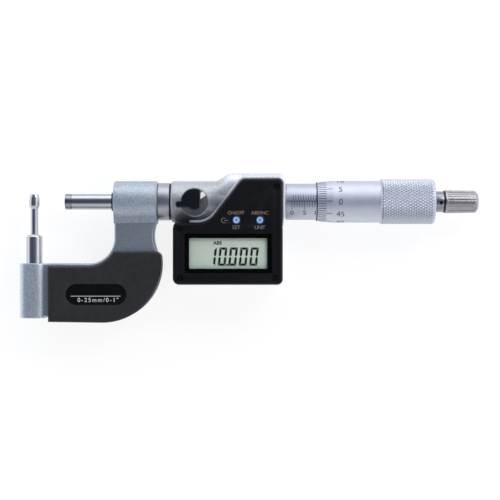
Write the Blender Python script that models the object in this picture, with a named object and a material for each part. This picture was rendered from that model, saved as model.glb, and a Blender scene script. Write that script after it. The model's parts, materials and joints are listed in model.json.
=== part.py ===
"""Digital tube micrometer, 0 to 25 mm, lying on its back on a bench.

+X runs along the spindle from the anvil to the ratchet, +Y runs from the frame to the spindle
and +Z is up, towards the display. The origin is on the flat back of the display housing, under
the spindle. Sizes are in millimetres. Heights called "depth" are measured from the spindle axis.
"""

import math

import bmesh
import bpy
from mathutils import Vector

MM = 0.001

# Fits
SEAT_GAP = 0.3
RUNNING_GAP = 0.2
JOINT_LINE = 0.1
OVERCUT = 2.0

# Measuring line
AXIS_HEIGHT = 10.5
OPENING = 10.0
MEASURING_RANGE = 25.0
CLOSED_GAP = 0.3

# Anvil pin
PIN_X = -77.4
PIN_POST_RADIUS = 3.25
PIN_POST_TOP = -13.2
PIN_POST_CHAMFER = 0.8
PIN_STEM_RADIUS = 1.5
PIN_HEAD_RADIUS = 2.12
PIN_HEAD_TOP_RADIUS = 1.66
PIN_HEAD_TOP = 3.1
PIN_CROWN_HEIGHT = 1.7
PIN_CROWN_RADIUS = 1.97
PIN_HEAD_BOTTOM = -1.7
PIN_CONE_BOTTOM = -2.9
PIN_SINK = 14.0

# Frame
BOSS_LEFT = -83.3
BOSS_RIGHT = -73.4
BOSS_DEPTH = 5.8
BOSS_ROUND = 2.4
BOSS_BOTTOM = -46.4
BOSS_CHAMFER = 0.5
ARM_TOP = -24.6
ARM_BOTTOM = -45.9
WEB_THICKNESS = 9.0
WEB_EDGE = 0.7
THROAT_RADIUS = 10.2
NECK_LEFT = -44.7
NECK_WAIST_X = -29.1
NECK_WAIST_Y = -13.7
NECK_WAIST_RADIUS = 15.0
HUB_LEFT = -45.4
HUB_RIGHT = -28.0
HUB_RADIUS = 8.25
HUB_CHAMFER = 0.5
HUB_LIP = 1.6
FOOT_TOP = -4.0
FOOT_BOTTOM = -8.7
FOOT_TOP_DEPTH = 6.15
FOOT_BOTTOM_DEPTH = 4.75
FOOT_INSET = 0.15
BEND_X = -49.3
BEND_Y = -24.9
BEND_RADIUS = 21.2
BEND_RISE = 4.0
WAIST_RISE = 4.6

# Grip covers
COVER_FACE = 6.6
COVER_LEFT = -71.2
COVER_TOP = -19.9
COVER_WRAP = 2.0
COVER_INSET = 1.1
COVER_CORNER = 2.4
COVER_EDGE = 1.0
LABEL_X = -52.1
LABEL_Y = -36.9
LABEL_LENGTH = 24.0
LABEL_HEIGHT = 8.3
LABEL_DEPTH = 0.4

# Spindle and its guide
SPINDLE_RADIUS = 3.175
TIP_LENGTH = 2.5
TIP_CHAMFER = 0.15
WIPER_PROUD = 1.0
WIPER_LENGTH = 2.2
WIPER_RADIUS = 3.65
STEM_RADIUS = 7.5
STEM_RIGHT = -23.2
STEM_SPIGOT_RADIUS = 5.6
STEM_SPIGOT_LENGTH = 5.6
STEM_CHAMFER = 0.3
SEAL_RADIUS = 7.3

# Display housing casting
HOUSING_LEFT = -22.6
HOUSING_RIGHT = 22.9
BARREL_RADIUS = 8.25
BARREL_EDGE = 0.9
SHOULDER_TOP = 11.3
SHOULDER_START = -6.2
SHOULDER_END = 2.0
SHOULDER_SINK = 0.3
SHOULDER_SQUARENESS = 3.5
SHOULDER_CORNER = 2.6
RIM_WIDTH = 1.0
RIM_DEPTH = 9.2
RIM_EDGE = 0.65
RIM_FADE = 4.0
RIM_LEFT = -15.0
TRAY_FRONT = -3.0
TRAY_TOP = 5.0
TRAY_WALL = 1.6
BACK_EDGE = 1.2
LOCK_BOSS_RADIUS = 5.8
LOCK_BOSS_PROUD = 0.15
BARREL_SETBACK = 0.4
ENCODER_BORE = 7.0
ENCODER_LEFT = 2.0

# Front panel
PANEL_LEFT = -21.6
PANEL_RIGHT = 21.7
PANEL_TOP = 8.8
PANEL_STEP = -8.5
PANEL_BOTTOM = -33.0
PANEL_FACE = 10.5
PANEL_PLATE = 2.0
PANEL_SKIRT_WALL = 1.2
PANEL_EDGE = 0.9
CORNER_LOWER_LEFT = 2.6
CORNER_LOWER_RIGHT = 2.2
CORNER_UPPER_RIGHT = 1.8
CORNER_SLOPE = 3.5
CORNER_STEP = 1.6
SLOPE_X = 4.68
SLOPE_Y = 7.59
SLOPE_ANGLE = 52.5
BAY_RADIUS = 8.6

# Display, keys and board
WINDOW_LEFT = -15.2
WINDOW_RIGHT = 15.6
WINDOW_BOTTOM = -26.7
WINDOW_TOP = -14.6
LENS_BORDER = 1.8
LENS_RECESS = 1.3
LENS_THICKNESS = 0.9
LENS_CORNER = 0.8
LCD_BORDER = 1.2
LCD_THICKNESS = 1.2
BOARD_HALF_WIDTH = 17.0
BOARD_BOTTOM = -30.0
BOARD_TOP = -10.4
BOARD_THICKNESS = 1.2
BOARD_TONGUE_TOP = -5.7
BOARD_TONGUE_MARGIN = 2.9
STANDOFF_RADIUS = 1.2
STANDOFF_X = 14.0
STANDOFF_HIGH = -12.6
STANDOFF_LOW = -28.0
BUTTON_Y = -7.55
BUTTON_LEFT_X = 3.45
BUTTON_RIGHT_X = 12.7
BUTTON_HOLE = 2.2
BUTTON_CAP_RADIUS = 1.5
BUTTON_CAP_HEIGHT = 1.0
BUTTON_DISH = 0.35
BUTTON_PROUD = 0.15
BUTTON_FLANGE = 2.6
BUTTON_FLANGE_HEIGHT = 0.3
BUTTON_TRAVEL = 0.5
MAT_THICKNESS = 0.4
SCREW_PLACES = ((-18.8, -10.9), (-18.7, -30.2), (18.7, -30.2), (19.2, 5.6))
SCREW_HEAD_RADIUS = 1.0
SCREW_HEAD_HEIGHT = 0.7
SCREW_SINK = 0.3
SCREW_RADIUS = 0.5
SCREW_LENGTH = 3.4
SCREW_POST_RADIUS = 1.25
SCREW_SLOT = 0.3

# Battery
BATTERY_X = 0.0
BATTERY_Y = -20.5
BATTERY_RADIUS = 5.8
BATTERY_HEIGHT = 5.4
CAP_RADIUS = 7.6
CAP_FLANGE = 0.9
CAP_LEDGE = 1.1
CAP_NECK = 2.4
CAP_RECESS = 0.1
CAP_SLOT_WIDTH = 1.6
CAP_SLOT_LENGTH = 11.0
CAP_SLOT_DEPTH = 0.6
CAP_SEAL_HEIGHT = 0.5
BATTERY_TUBE_WALL = 1.4
CONTACT_RADIUS = 4.0
CONTACT_PLATE = 0.4
CONTACT_POST_RADIUS = 0.8

# Spindle lock
LOCK_X = -12.9
LOCK_RADIUS = 5.3
LOCK_BASE_HEIGHT = 1.9
LOCK_BASE_RIM = 0.9
LOCK_BASE_FLAT = 2.3
LOCK_HEIGHT = 3.4
LOCK_EDGE = 0.8
LOCK_INSET = 0.2
LOCK_REACH = 7.6
LOCK_LEVER_TOP = 0.2
LOCK_LEVER_BOTTOM = -2.4
LOCK_LEVER_TIP = 0.65
LOCK_HEEL = 2.4
LOCK_LEVER_LOW = 0.6
LOCK_STUD_RADIUS = 2.1
LOCK_STUD_SINK = 1.6
LOCK_PAD_HEIGHT = 1.1

# Rotary encoder
STATOR_LEFT = 4.0
STATOR_THICKNESS = 1.6
STATOR_BORE = 4.2
ROTOR_GAP = 0.8
ROTOR_RADIUS = 6.4
ROTOR_THICKNESS = 1.6
ROTOR_HUB_RADIUS = 5.0
ROTOR_HUB_LENGTH = 5.4
KEY_RADIUS = 0.5
KEYWAY_DEPTH = 1.0
KEYWAY_OVERRUN = 1.5
SPACER_WALL = 1.0

# Sleeve
SLEEVE_RADIUS = 7.25
SLEEVE_RIGHT = 55.0
SLEEVE_WALL = 1.05
SLEEVE_CHAMFER = 0.25
INNER_FLANGE_LENGTH = 5.4
INNER_RIGHT = 62.0
NUT_LEFT = 48.0
ADJUSTER_LENGTH = 6.2
ADJUSTER_RADIUS = 6.9

# Thimble
THIMBLE_LEFT = 35.3
THIMBLE_RIGHT = 82.4
THIMBLE_RADIUS = 8.36
THIMBLE_RIM = 0.24
THIMBLE_BEVEL = 6.4
KNURL_RAMP = 59.6
KNURL_LEFT = 62.0
KNURL_RADIUS = 9.0
KNURL_GROOVE = 0.45
KNURL_END_ROUND = 1.5
THIMBLE_WALL_LEFT = 75.2
THREAD_RADIUS = 3.8
THREAD_LEFT = 32.6
THREAD_RIGHT = 72.0
THREAD_RELIEF = 3.4
TAPER_LEFT_RADIUS = 3.9
TAPER_RIGHT_RADIUS = 3.05
TAPER_RIGHT = 81.8
REAR_HOLE_LEFT = 76.0

# Ratchet stop
RATCHET_COLLAR_RADIUS = 4.15
RATCHET_COLLAR_LENGTH = 2.9
RATCHET_STUD_RADIUS = 1.6
RATCHET_HOLE_RADIUS = 0.6
RATCHET_HOLE_DEPTH = 1.4
RATCHET_SHANK_RADIUS = 1.8
RATCHET_SHANK_LENGTH = 8.8
RATCHET_RING_RADIUS = 4.55
RATCHET_RING_LENGTH = 0.6
KNOB_RADIUS = 4.6
KNOB_END_RADIUS = 4.38
KNOB_LENGTH = 13.2
KNOB_FLANGE = 0.8
KNOB_BORE = 3.3
KNOB_FLUTES = 24
KNOB_FLUTE_DEPTH = 0.4
KNOB_END_ROUND = 1.0
KNOB_END_STEP = 0.35
KNOB_END_WALL = 3.0
CLUTCH_LENGTH = 1.6
SPRING_TURNS = 4
SPRING_WIRE = 0.25
SPRING_RADIUS = 2.55
RATCHET_SCREW_HEAD = 2.7
RATCHET_SCREW_HEIGHT = 1.2
RATCHET_SCREW_RADIUS = 0.9
RATCHET_SCREW_LENGTH = 3.4

# Facets
SIDES = 32
SIDES_HIDDEN = 20
SIDES_SMALL = 12
ARC_STEP = 15.0
SHOULDER_STEPS = 6
SECTION_STEPS = 12

# The casting's many cuts meet at shallow angles, which only this solver keeps closed
CASTING_SOLVER = "MANIFOLD"

COLOURS = {
    "frame_paint": ((0.30, 0.33, 0.37), 0.45, 0.4),
    "grip_plastic": ((0.035, 0.036, 0.040), 0.55, 0.0),
    "ground_steel": ((0.62, 0.63, 0.66), 0.16, 1.0),
    "satin_chrome": ((0.60, 0.61, 0.66), 0.32, 1.0),
    "carbide": ((0.42, 0.43, 0.46), 0.20, 1.0),
    "black_rubber": ((0.012, 0.012, 0.013), 0.70, 0.0),
    "housing_paint": ((0.46, 0.48, 0.52), 0.40, 0.4),
    "panel_plastic": ((0.020, 0.020, 0.023), 0.45, 0.0),
    "clear_lens": ((0.80, 0.82, 0.80), 0.05, 0.0),
    "lcd_glass": ((0.42, 0.47, 0.42), 0.25, 0.0),
    "circuit_board": ((0.02, 0.16, 0.08), 0.50, 0.0),
    "button_rubber": ((0.36, 0.55, 0.86), 0.40, 0.0),
    "black_steel": ((0.030, 0.030, 0.034), 0.35, 0.9),
    "lock_black": ((0.012, 0.013, 0.015), 0.20, 0.0),
    "brass": ((0.72, 0.52, 0.22), 0.30, 1.0),
    "battery_steel": ((0.66, 0.66, 0.64), 0.25, 1.0),
}


def clear_scene():
    for item in list(bpy.data.objects):
        bpy.data.objects.remove(item)


def material(name):
    found = bpy.data.materials.get(name)
    if found:
        return found
    colour, roughness, metallic = COLOURS[name]
    made = bpy.data.materials.new(name)
    made.use_nodes = True
    shader = made.node_tree.nodes["Principled BSDF"]
    shader.inputs["Base Color"].default_value = (*colour, 1.0)
    shader.inputs["Roughness"].default_value = roughness
    shader.inputs["Metallic"].default_value = metallic
    return made


def empty(name, place, parent=None):
    made = bpy.data.objects.new(name, None)
    made.location = Vector(place) * MM
    made.parent = parent
    bpy.context.scene.collection.objects.link(made)
    return made


def shape(bm):
    """A bare object that holds this bmesh, with its faces pointing out."""
    bmesh.ops.recalc_face_normals(bm, faces=bm.faces[:])
    mesh = bpy.data.meshes.new("shape")
    bm.to_mesh(mesh)
    bm.free()
    made = bpy.data.objects.new("shape", mesh)
    bpy.context.scene.collection.objects.link(made)
    return made


def boolean(target, tools, operation, solver):
    for tool in tools:
        modifier = target.modifiers.new(operation, "BOOLEAN")
        modifier.operation = operation
        modifier.solver = solver
        modifier.object = tool
    graph = bpy.context.evaluated_depsgraph_get()
    mesh = bpy.data.meshes.new_from_object(target.evaluated_get(graph))
    target.modifiers.clear()
    target.data = mesh
    for tool in tools:
        bpy.data.objects.remove(tool)
    return target


def union(first, *others, solver="EXACT"):
    return boolean(first, others, "UNION", solver)


def minus(first, *others, solver="EXACT"):
    return boolean(first, others, "DIFFERENCE", solver)


def piece(name, made, material_name, parent):
    """Name a finished shape and hang it on the empty that carries it."""
    made.name = name
    made.data.name = name
    made.data.materials.clear()
    made.data.materials.append(material(material_name))
    made.data.shade_smooth()
    made.data.set_sharp_from_angle(angle=math.radians(28))
    made.parent = parent
    return made


def arc(centre, radius, start, end):
    """Points along an arc in the plane of the frame, with angles in degrees."""
    steps = max(2, round(abs(end - start) / ARC_STEP))
    points = []
    for i in range(steps + 1):
        angle = math.radians(start + (end - start) * i / steps)
        points.append((centre[0] + radius * math.cos(angle), centre[1] + radius * math.sin(angle)))
    return points


def rounded_box(left, right, bottom, top, corner):
    return [
        *arc((left + corner, bottom + corner), corner, 180, 270),
        *arc((right - corner, bottom + corner), corner, 270, 360),
        *arc((right - corner, top - corner), corner, 0, 90),
        *arc((left + corner, top - corner), corner, 90, 180),
    ]


def on_axis(axis, along, across, up):
    """A point from its place along a turning axis and its two offsets from that axis."""
    if axis == "X":
        return Vector((along, across, up)) * MM
    if axis == "Y":
        return Vector((across, along, up)) * MM
    return Vector((across, up, along)) * MM


def skinned(rings, looped):
    """A closed skin over rings of points. A ring of one point is a tip."""
    bm = bmesh.new()
    sides = max(len(ring) for ring in rings)
    verts = []
    for ring in rings:
        made = [bm.verts.new(point) for point in ring]
        verts.append(made if len(made) > 1 else made * sides)
    pairs = list(zip(verts, verts[1:]))
    if looped:
        pairs.append((verts[-1], verts[0]))
    for lower, upper in pairs:
        for i in range(sides):
            corners = dict.fromkeys((lower[i - 1], lower[i], upper[i], upper[i - 1]))
            bm.faces.new(list(corners))
    return shape(bm)


def turned(profile, axis="X", sides=SIDES, centre=(0.0, 0.0)):
    """A lathe-turned solid from its half outline of (station, radius) points."""
    rings = []
    for along, radius in profile:
        if radius == 0:
            rings.append([on_axis(axis, along, *centre)])
            continue
        ring = []
        for i in range(sides):
            angle = 2 * math.pi * i / sides
            across = centre[0] + radius * math.cos(angle)
            up = centre[1] + radius * math.sin(angle)
            ring.append(on_axis(axis, along, across, up))
        rings.append(ring)
    return skinned(rings, looped=len(rings[0]) > 1)


def rod(start, end, radius, axis="X", sides=SIDES, centre=(0.0, 0.0)):
    profile = [(start, 0), (start, radius), (end, radius), (end, 0)]
    return turned(profile, axis, sides, centre)


def tube(start, end, inner, outer, chamfer=0.0, sides=SIDES):
    profile = [(start, inner), (end, inner)]
    if chamfer:
        profile += [(end, outer - chamfer), (end - chamfer, outer)]
        profile += [(start + chamfer, outer), (start, outer - chamfer)]
    else:
        profile += [(end, outer), (start, outer)]
    return turned(profile, sides=sides)


def rim_edges(bm, height):
    level = height * MM
    return [
        edge
        for edge in bm.edges
        if all(abs(vert.co.z - level) < 1e-7 for vert in edge.verts)
    ]


def extruded(outline, low, high, top_edge=0.0, bottom_edge=0.0, edge_steps=1):
    """An outline raised from one depth to another, with its rims rounded over."""
    bm = bmesh.new()
    verts = [bm.verts.new((x * MM, y * MM, low * MM)) for x, y in outline]
    base = bm.faces.new(verts)
    raised = bmesh.ops.extrude_face_region(bm, geom=[base])
    moved = [item for item in raised["geom"] if isinstance(item, bmesh.types.BMVert)]
    bmesh.ops.translate(bm, vec=(0, 0, (high - low) * MM), verts=moved)
    for height, width in ((high, top_edge), (low, bottom_edge)):
        if width:
            bmesh.ops.bevel(
                bm,
                geom=rim_edges(bm, height),
                offset=width * MM,
                segments=edge_steps,
                profile=0.5,
                affect="EDGES",
            )
    return shape(bm)


def block(left, right, bottom, top, low, high):
    corners = [(left, bottom), (right, bottom), (right, top), (left, top)]
    return extruded(corners, low, high)


def spindle_face():
    return PIN_X + PIN_HEAD_RADIUS + CLOSED_GAP + OPENING


def web_outline(grow=0.0):
    """The flat web of the frame, from the anvil boss under the throat and up the neck."""
    throat = (NECK_LEFT - THROAT_RADIUS, ARM_TOP + THROAT_RADIUS)
    waist = (NECK_WAIST_X + NECK_WAIST_RADIUS, NECK_WAIST_Y)
    waist_top = -STEM_RADIUS - 2 * SEAT_GAP
    waist_high = math.degrees(math.asin((waist_top - NECK_WAIST_Y) / NECK_WAIST_RADIUS))
    waist_low = math.degrees(math.asin((NECK_WAIST_Y - BEND_Y - WAIST_RISE) / NECK_WAIST_RADIUS))
    hub_y = -0.5 * HUB_RADIUS
    bend_start = math.degrees(math.asin(BEND_RISE / BEND_RADIUS))
    return [
        (PIN_X, ARM_BOTTOM - grow),
        *reversed(arc((BEND_X, BEND_Y), BEND_RADIUS + grow, bend_start, -90)),
        *reversed(arc(waist, NECK_WAIST_RADIUS - grow, 180 - waist_high, 180 + waist_low)),
        (HUB_RIGHT - HUB_LIP, hub_y),
        (NECK_LEFT, hub_y),
        *arc(throat, THROAT_RADIUS, 0, -90),
        (PIN_X, ARM_TOP),
    ]


def anvil_boss():
    """Upright block with rounded edges at the end of the arm, which holds the pin."""
    rings = []
    for y, inset in (
        (BOSS_BOTTOM, BOSS_CHAMFER),
        (BOSS_BOTTOM + BOSS_CHAMFER, 0.0),
        (ARM_TOP - BOSS_CHAMFER, 0.0),
        (ARM_TOP, BOSS_CHAMFER),
    ):
        depth = BOSS_DEPTH - inset
        section = rounded_box(BOSS_LEFT + inset, BOSS_RIGHT - inset, -depth, depth, BOSS_ROUND - inset)
        rings.append([Vector((x, y, z)) * MM for x, z in section])
    middle = (BOSS_LEFT + BOSS_RIGHT) / 2
    ends = [[Vector((middle, y, 0.0)) * MM] for y in (BOSS_BOTTOM, ARM_TOP)]
    return skinned([ends[0], *rings, ends[1]], looped=False)


def hub_foot():
    """Sloping foot under the hub, which stands a little proud of the neck."""
    left = HUB_LEFT + FOOT_INSET
    right = HUB_RIGHT - FOOT_INSET
    section = [
        (FOOT_TOP, FOOT_TOP_DEPTH),
        (FOOT_BOTTOM, FOOT_BOTTOM_DEPTH),
        (FOOT_BOTTOM, -FOOT_BOTTOM_DEPTH),
        (FOOT_TOP, -FOOT_TOP_DEPTH),
    ]
    rings = [[Vector((x, y, z)) * MM for y, z in section] for x in (left, right)]
    ends = [[sum(ring, Vector()) / len(ring)] for ring in rings]
    return skinned([ends[0], *rings, ends[1]], looped=False)


def build_frame(line):
    half = WEB_THICKNESS / 2
    web = extruded(web_outline(), -half, half, WEB_EDGE, WEB_EDGE)
    hub_profile = [
        (HUB_LEFT, 0),
        (HUB_LEFT, HUB_RADIUS - HUB_CHAMFER),
        (HUB_LEFT + HUB_CHAMFER, HUB_RADIUS),
        (HUB_RIGHT - HUB_CHAMFER, HUB_RADIUS),
        (HUB_RIGHT, HUB_RADIUS - HUB_CHAMFER),
        (HUB_RIGHT, 0),
    ]
    hub = turned(hub_profile)
    lip_right = HUB_LEFT + HUB_LIP
    bore_profile = [
        (HUB_LEFT - OVERCUT, 0),
        (HUB_LEFT - OVERCUT, WIPER_RADIUS + JOINT_LINE),
        (lip_right, WIPER_RADIUS + JOINT_LINE),
        (lip_right, STEM_SPIGOT_RADIUS + RUNNING_GAP),
        (HUB_RIGHT + OVERCUT, STEM_SPIGOT_RADIUS + RUNNING_GAP),
        (HUB_RIGHT + OVERCUT, 0),
    ]
    bore = turned(bore_profile)
    socket_bottom = ARM_TOP - PIN_SINK - SEAT_GAP
    socket_radius = PIN_POST_RADIUS + JOINT_LINE
    socket = rod(socket_bottom, ARM_TOP + OVERCUT, socket_radius, "Y", SIDES, (PIN_X, 0.0))
    made = minus(union(web, anvil_boss(), hub, hub_foot()), bore, socket)
    return piece("frame", made, "frame_paint", line)


def cover_outline():
    """The grip cover, set in from the throat edge and wrapped over the outer edge."""
    reach = BEND_RADIUS + COVER_WRAP
    throat = (NECK_LEFT - THROAT_RADIUS, ARM_TOP + THROAT_RADIUS)
    inner = THROAT_RADIUS + COVER_INSET
    corner_y = COVER_TOP - COVER_CORNER
    corner_x = BEND_X + math.sqrt((reach - COVER_CORNER) ** 2 - (corner_y - BEND_Y) ** 2)
    meet = math.degrees(math.atan2(corner_y - BEND_Y, corner_x - BEND_X))
    throat_end = math.degrees(math.asin((COVER_TOP - throat[1]) / inner))
    return [
        (COVER_LEFT, ARM_BOTTOM - COVER_WRAP),
        *arc((BEND_X, BEND_Y), reach, -90, meet),
        *arc((corner_x, corner_y), COVER_CORNER, meet, 90)[1:],
        *arc(throat, inner, throat_end, -90),
        (COVER_LEFT, ARM_TOP - COVER_INSET),
    ]


def label_outline():
    radius = LABEL_HEIGHT / 2
    reach = LABEL_LENGTH / 2 - radius
    left = arc((LABEL_X - reach, LABEL_Y), radius, 90, 270)
    right = arc((LABEL_X + reach, LABEL_Y), radius, -90, 90)
    return left + right


def build_covers(line):
    half = WEB_THICKNESS / 2
    part_line = JOINT_LINE / 2
    for name, side in (("front_grip_cover", 1), ("rear_grip_cover", -1)):
        low, high = sorted((side * part_line, side * COVER_FACE))
        top_edge = COVER_EDGE if side > 0 else 0.0
        bottom_edge = COVER_EDGE if side < 0 else 0.0
        cover = extruded(cover_outline(), low, high, top_edge, bottom_edge, 2)
        web_low, web_high = sorted((-side * half, side * (half + RUNNING_GAP)))
        tools = [extruded(web_outline(RUNNING_GAP), web_low, web_high)]
        if side > 0:
            tools.append(extruded(label_outline(), COVER_FACE - LABEL_DEPTH, COVER_FACE + OVERCUT))
        piece(name, minus(cover, *tools), "grip_plastic", line)


def build_anvil_pin(line):
    crown = [
        (PIN_HEAD_TOP, PIN_HEAD_TOP_RADIUS),
        (PIN_CROWN_HEIGHT, PIN_CROWN_RADIUS),
        (0.0, PIN_HEAD_RADIUS),
    ]
    profile = [
        (PIN_HEAD_TOP, 0),
        *crown,
        (PIN_HEAD_BOTTOM, PIN_HEAD_RADIUS),
        (PIN_CONE_BOTTOM, PIN_STEM_RADIUS),
        (PIN_POST_TOP, PIN_STEM_RADIUS),
        (PIN_POST_TOP, PIN_POST_RADIUS - PIN_POST_CHAMFER),
        (PIN_POST_TOP - PIN_POST_CHAMFER, PIN_POST_RADIUS),
        (ARM_TOP - PIN_SINK, PIN_POST_RADIUS),
        (ARM_TOP - PIN_SINK, 0),
    ]
    made = turned(profile, "Y", SIDES_HIDDEN, (PIN_X, 0.0))
    piece("anvil_pin", made, "ground_steel", line)


def build_guide(line):
    """The stem that joins the frame to the housing, with its seal and the spindle wiper."""
    wiper_left = HUB_LEFT - WIPER_PROUD
    wiper = tube(wiper_left, wiper_left + WIPER_LENGTH, SPINDLE_RADIUS + JOINT_LINE, WIPER_RADIUS,
                 sides=SIDES_HIDDEN)
    piece("spindle_wiper", wiper, "black_rubber", line)
    bore = SPINDLE_RADIUS + RUNNING_GAP
    collar_left = HUB_RIGHT + RUNNING_GAP
    spigot_left = HUB_LEFT + HUB_LIP + SEAT_GAP
    spigot_right = STEM_RIGHT + STEM_SPIGOT_LENGTH
    profile = [
        (spigot_left, bore),
        (spigot_left, STEM_SPIGOT_RADIUS),
        (collar_left, STEM_SPIGOT_RADIUS),
        (collar_left, STEM_RADIUS - STEM_CHAMFER),
        (collar_left + STEM_CHAMFER, STEM_RADIUS),
        (STEM_RIGHT - STEM_CHAMFER, STEM_RADIUS),
        (STEM_RIGHT, STEM_RADIUS - STEM_CHAMFER),
        (STEM_RIGHT, STEM_SPIGOT_RADIUS),
        (spigot_right, STEM_SPIGOT_RADIUS),
        (spigot_right, bore),
    ]
    piece("mounting_stem", turned(profile), "satin_chrome", line)
    seal = tube(STEM_RIGHT + JOINT_LINE, HOUSING_LEFT - JOINT_LINE, STEM_SPIGOT_RADIUS + RUNNING_GAP,
                SEAL_RADIUS)
    piece("stem_seal", seal, "black_rubber", line)


def slope_normal():
    angle = math.radians(SLOPE_ANGLE + 90)
    return math.cos(angle), math.sin(angle)


def slope_corner():
    """Centre of the round where the panel's sloping edge meets its top edge."""
    normal = slope_normal()
    y = PANEL_TOP - CORNER_SLOPE
    reach = (normal[0] * SLOPE_X + normal[1] * SLOPE_Y) - CORNER_SLOPE
    return (reach - normal[1] * y) / normal[0], y


def bay_centre():
    """Centre of the round bay that leaves room for the lock."""
    normal = slope_normal()
    y = PANEL_STEP + BAY_RADIUS
    reach = (normal[0] * SLOPE_X + normal[1] * SLOPE_Y) + BAY_RADIUS
    return (reach - normal[1] * y) / normal[0], y


def upper_edge(grow=0.0):
    """The panel's edge from its upper right corner, down the slope and round the lock bay."""
    corner = CORNER_UPPER_RIGHT
    slope = SLOPE_ANGLE + 90
    return [
        *arc((PANEL_RIGHT - corner, PANEL_TOP - corner), corner + grow, 0, 90),
        *arc(slope_corner(), CORNER_SLOPE + grow, 90, slope),
        *arc(bay_centre(), BAY_RADIUS - grow, slope - 180, -90),
    ]


def lower_corners(inset=0.0):
    """The two lower corners of the panel, from left to right."""
    left = (PANEL_LEFT + CORNER_LOWER_LEFT, PANEL_BOTTOM + CORNER_LOWER_LEFT)
    right = (PANEL_RIGHT - CORNER_LOWER_RIGHT, PANEL_BOTTOM + CORNER_LOWER_RIGHT)
    return [
        *arc(left, CORNER_LOWER_LEFT - inset, 180, 270),
        *arc(right, CORNER_LOWER_RIGHT - inset, 270, 360),
    ]


def panel_outline(grow=0.0):
    step = (PANEL_LEFT + CORNER_STEP, PANEL_STEP - CORNER_STEP)
    return [
        *lower_corners(-grow),
        *upper_edge(grow),
        *arc(step, CORNER_STEP + grow, 90, 180),
    ]


def rim_outline():
    """The raised block of the casting that carries the panel, one rim wider than the panel."""
    bottom = PANEL_STEP - CORNER_STEP
    return [
        (PANEL_RIGHT, bottom),
        (PANEL_RIGHT + RIM_WIDTH, bottom + RIM_FADE),
        *upper_edge(RIM_WIDTH),
        (RIM_LEFT, PANEL_STEP + RIM_WIDTH),
        (RIM_LEFT, bottom),
    ]


def shoulder_rise(x):
    """How far along the S from the barrel to the panel block the casting's top line is."""
    share = (x - SHOULDER_START) / (SHOULDER_END - SHOULDER_START)
    share = min(max(share, 0.0), 1.0)
    return share * share * (3 - 2 * share)


def shoulder_top(x):
    """Height of the casting's top line, with the round at its right end."""
    low = BARREL_RADIUS - SHOULDER_SINK
    top = low + (SHOULDER_TOP - low) * shoulder_rise(x)
    past = max(0.0, x - HOUSING_RIGHT + SHOULDER_CORNER)
    return top - SHOULDER_CORNER + math.sqrt(SHOULDER_CORNER ** 2 - past ** 2)


def shoulder():
    """The casting's upper side, from a round section on the barrel to a squarer one at the panel."""
    half_depth = BARREL_RADIUS - SHOULDER_SINK
    run = SHOULDER_END - SHOULDER_START
    stations = [SHOULDER_START + run * i / SHOULDER_STEPS for i in range(SHOULDER_STEPS + 1)]
    for angle in (0, 45, 90):
        stations.append(HOUSING_RIGHT - SHOULDER_CORNER * (1 - math.sin(math.radians(angle))))
    rings = []
    for x in stations:
        power = 2 + (SHOULDER_SQUARENESS - 2) * shoulder_rise(x)
        top = shoulder_top(x)
        ring = []
        for i in range(SECTION_STEPS + 1):
            angle = math.pi * i / SECTION_STEPS
            across = (abs(math.cos(angle)) / half_depth) ** power
            upward = (math.sin(angle) / top) ** power
            reach = (across + upward) ** (-1 / power)
            ring.append(Vector((x, reach * math.sin(angle), reach * math.cos(angle))) * MM)
        rings.append(ring)
    ends = [[sum(ring, Vector()) / len(ring)] for ring in (rings[0], rings[-1])]
    return skinned([ends[0], *rings, ends[1]], looped=False)


def tray_outline(inset=0.0, top=TRAY_TOP):
    return [
        *lower_corners(inset),
        (PANEL_RIGHT - inset, top - inset),
        (PANEL_LEFT + inset, top - inset),
    ]


def seat_depth():
    return PANEL_FACE - PANEL_PLATE - SEAT_GAP


def board_depth():
    return seat_depth() - LCD_THICKNESS - SEAT_GAP


def tray_floor():
    return TRAY_WALL - AXIS_HEIGHT


def battery_ledge():
    return CAP_RECESS + CAP_FLANGE + RUNNING_GAP + CAP_SEAL_HEIGHT + RUNNING_GAP - AXIS_HEIGHT


def cap_neck_radius():
    return CAP_RADIUS - CAP_LEDGE


def key_x():
    return STATOR_LEFT + STATOR_THICKNESS + ROTOR_GAP + ROTOR_THICKNESS + ROTOR_HUB_LENGTH / 2


def housing_body():
    """Barrel, panel block, shoulder and rear tray of the casting, before it is bored."""
    barrel_profile = [
        (HOUSING_LEFT, 0),
        (HOUSING_LEFT, BARREL_RADIUS - BARREL_EDGE),
        (HOUSING_LEFT + BARREL_EDGE / 3, BARREL_RADIUS - BARREL_EDGE / 3),
        (HOUSING_LEFT + BARREL_EDGE, BARREL_RADIUS),
        (HOUSING_RIGHT - BARREL_SETBACK, BARREL_RADIUS),
        (HOUSING_RIGHT - BARREL_SETBACK, 0),
    ]
    barrel = turned(barrel_profile)
    raised = extruded(rim_outline(), TRAY_FRONT - TRAY_WALL, RIM_DEPTH, RIM_EDGE, 0.0, 2)
    tray = extruded(tray_outline(), -AXIS_HEIGHT, TRAY_FRONT, 0.0, BACK_EDGE, 2)
    lock_boss = rod(0.0, BARREL_RADIUS + LOCK_BOSS_PROUD, LOCK_BOSS_RADIUS, "Z", SIDES, (LOCK_X, 0.0))
    return union(barrel, raised, shoulder(), tray, lock_boss, solver=CASTING_SOLVER)


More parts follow.
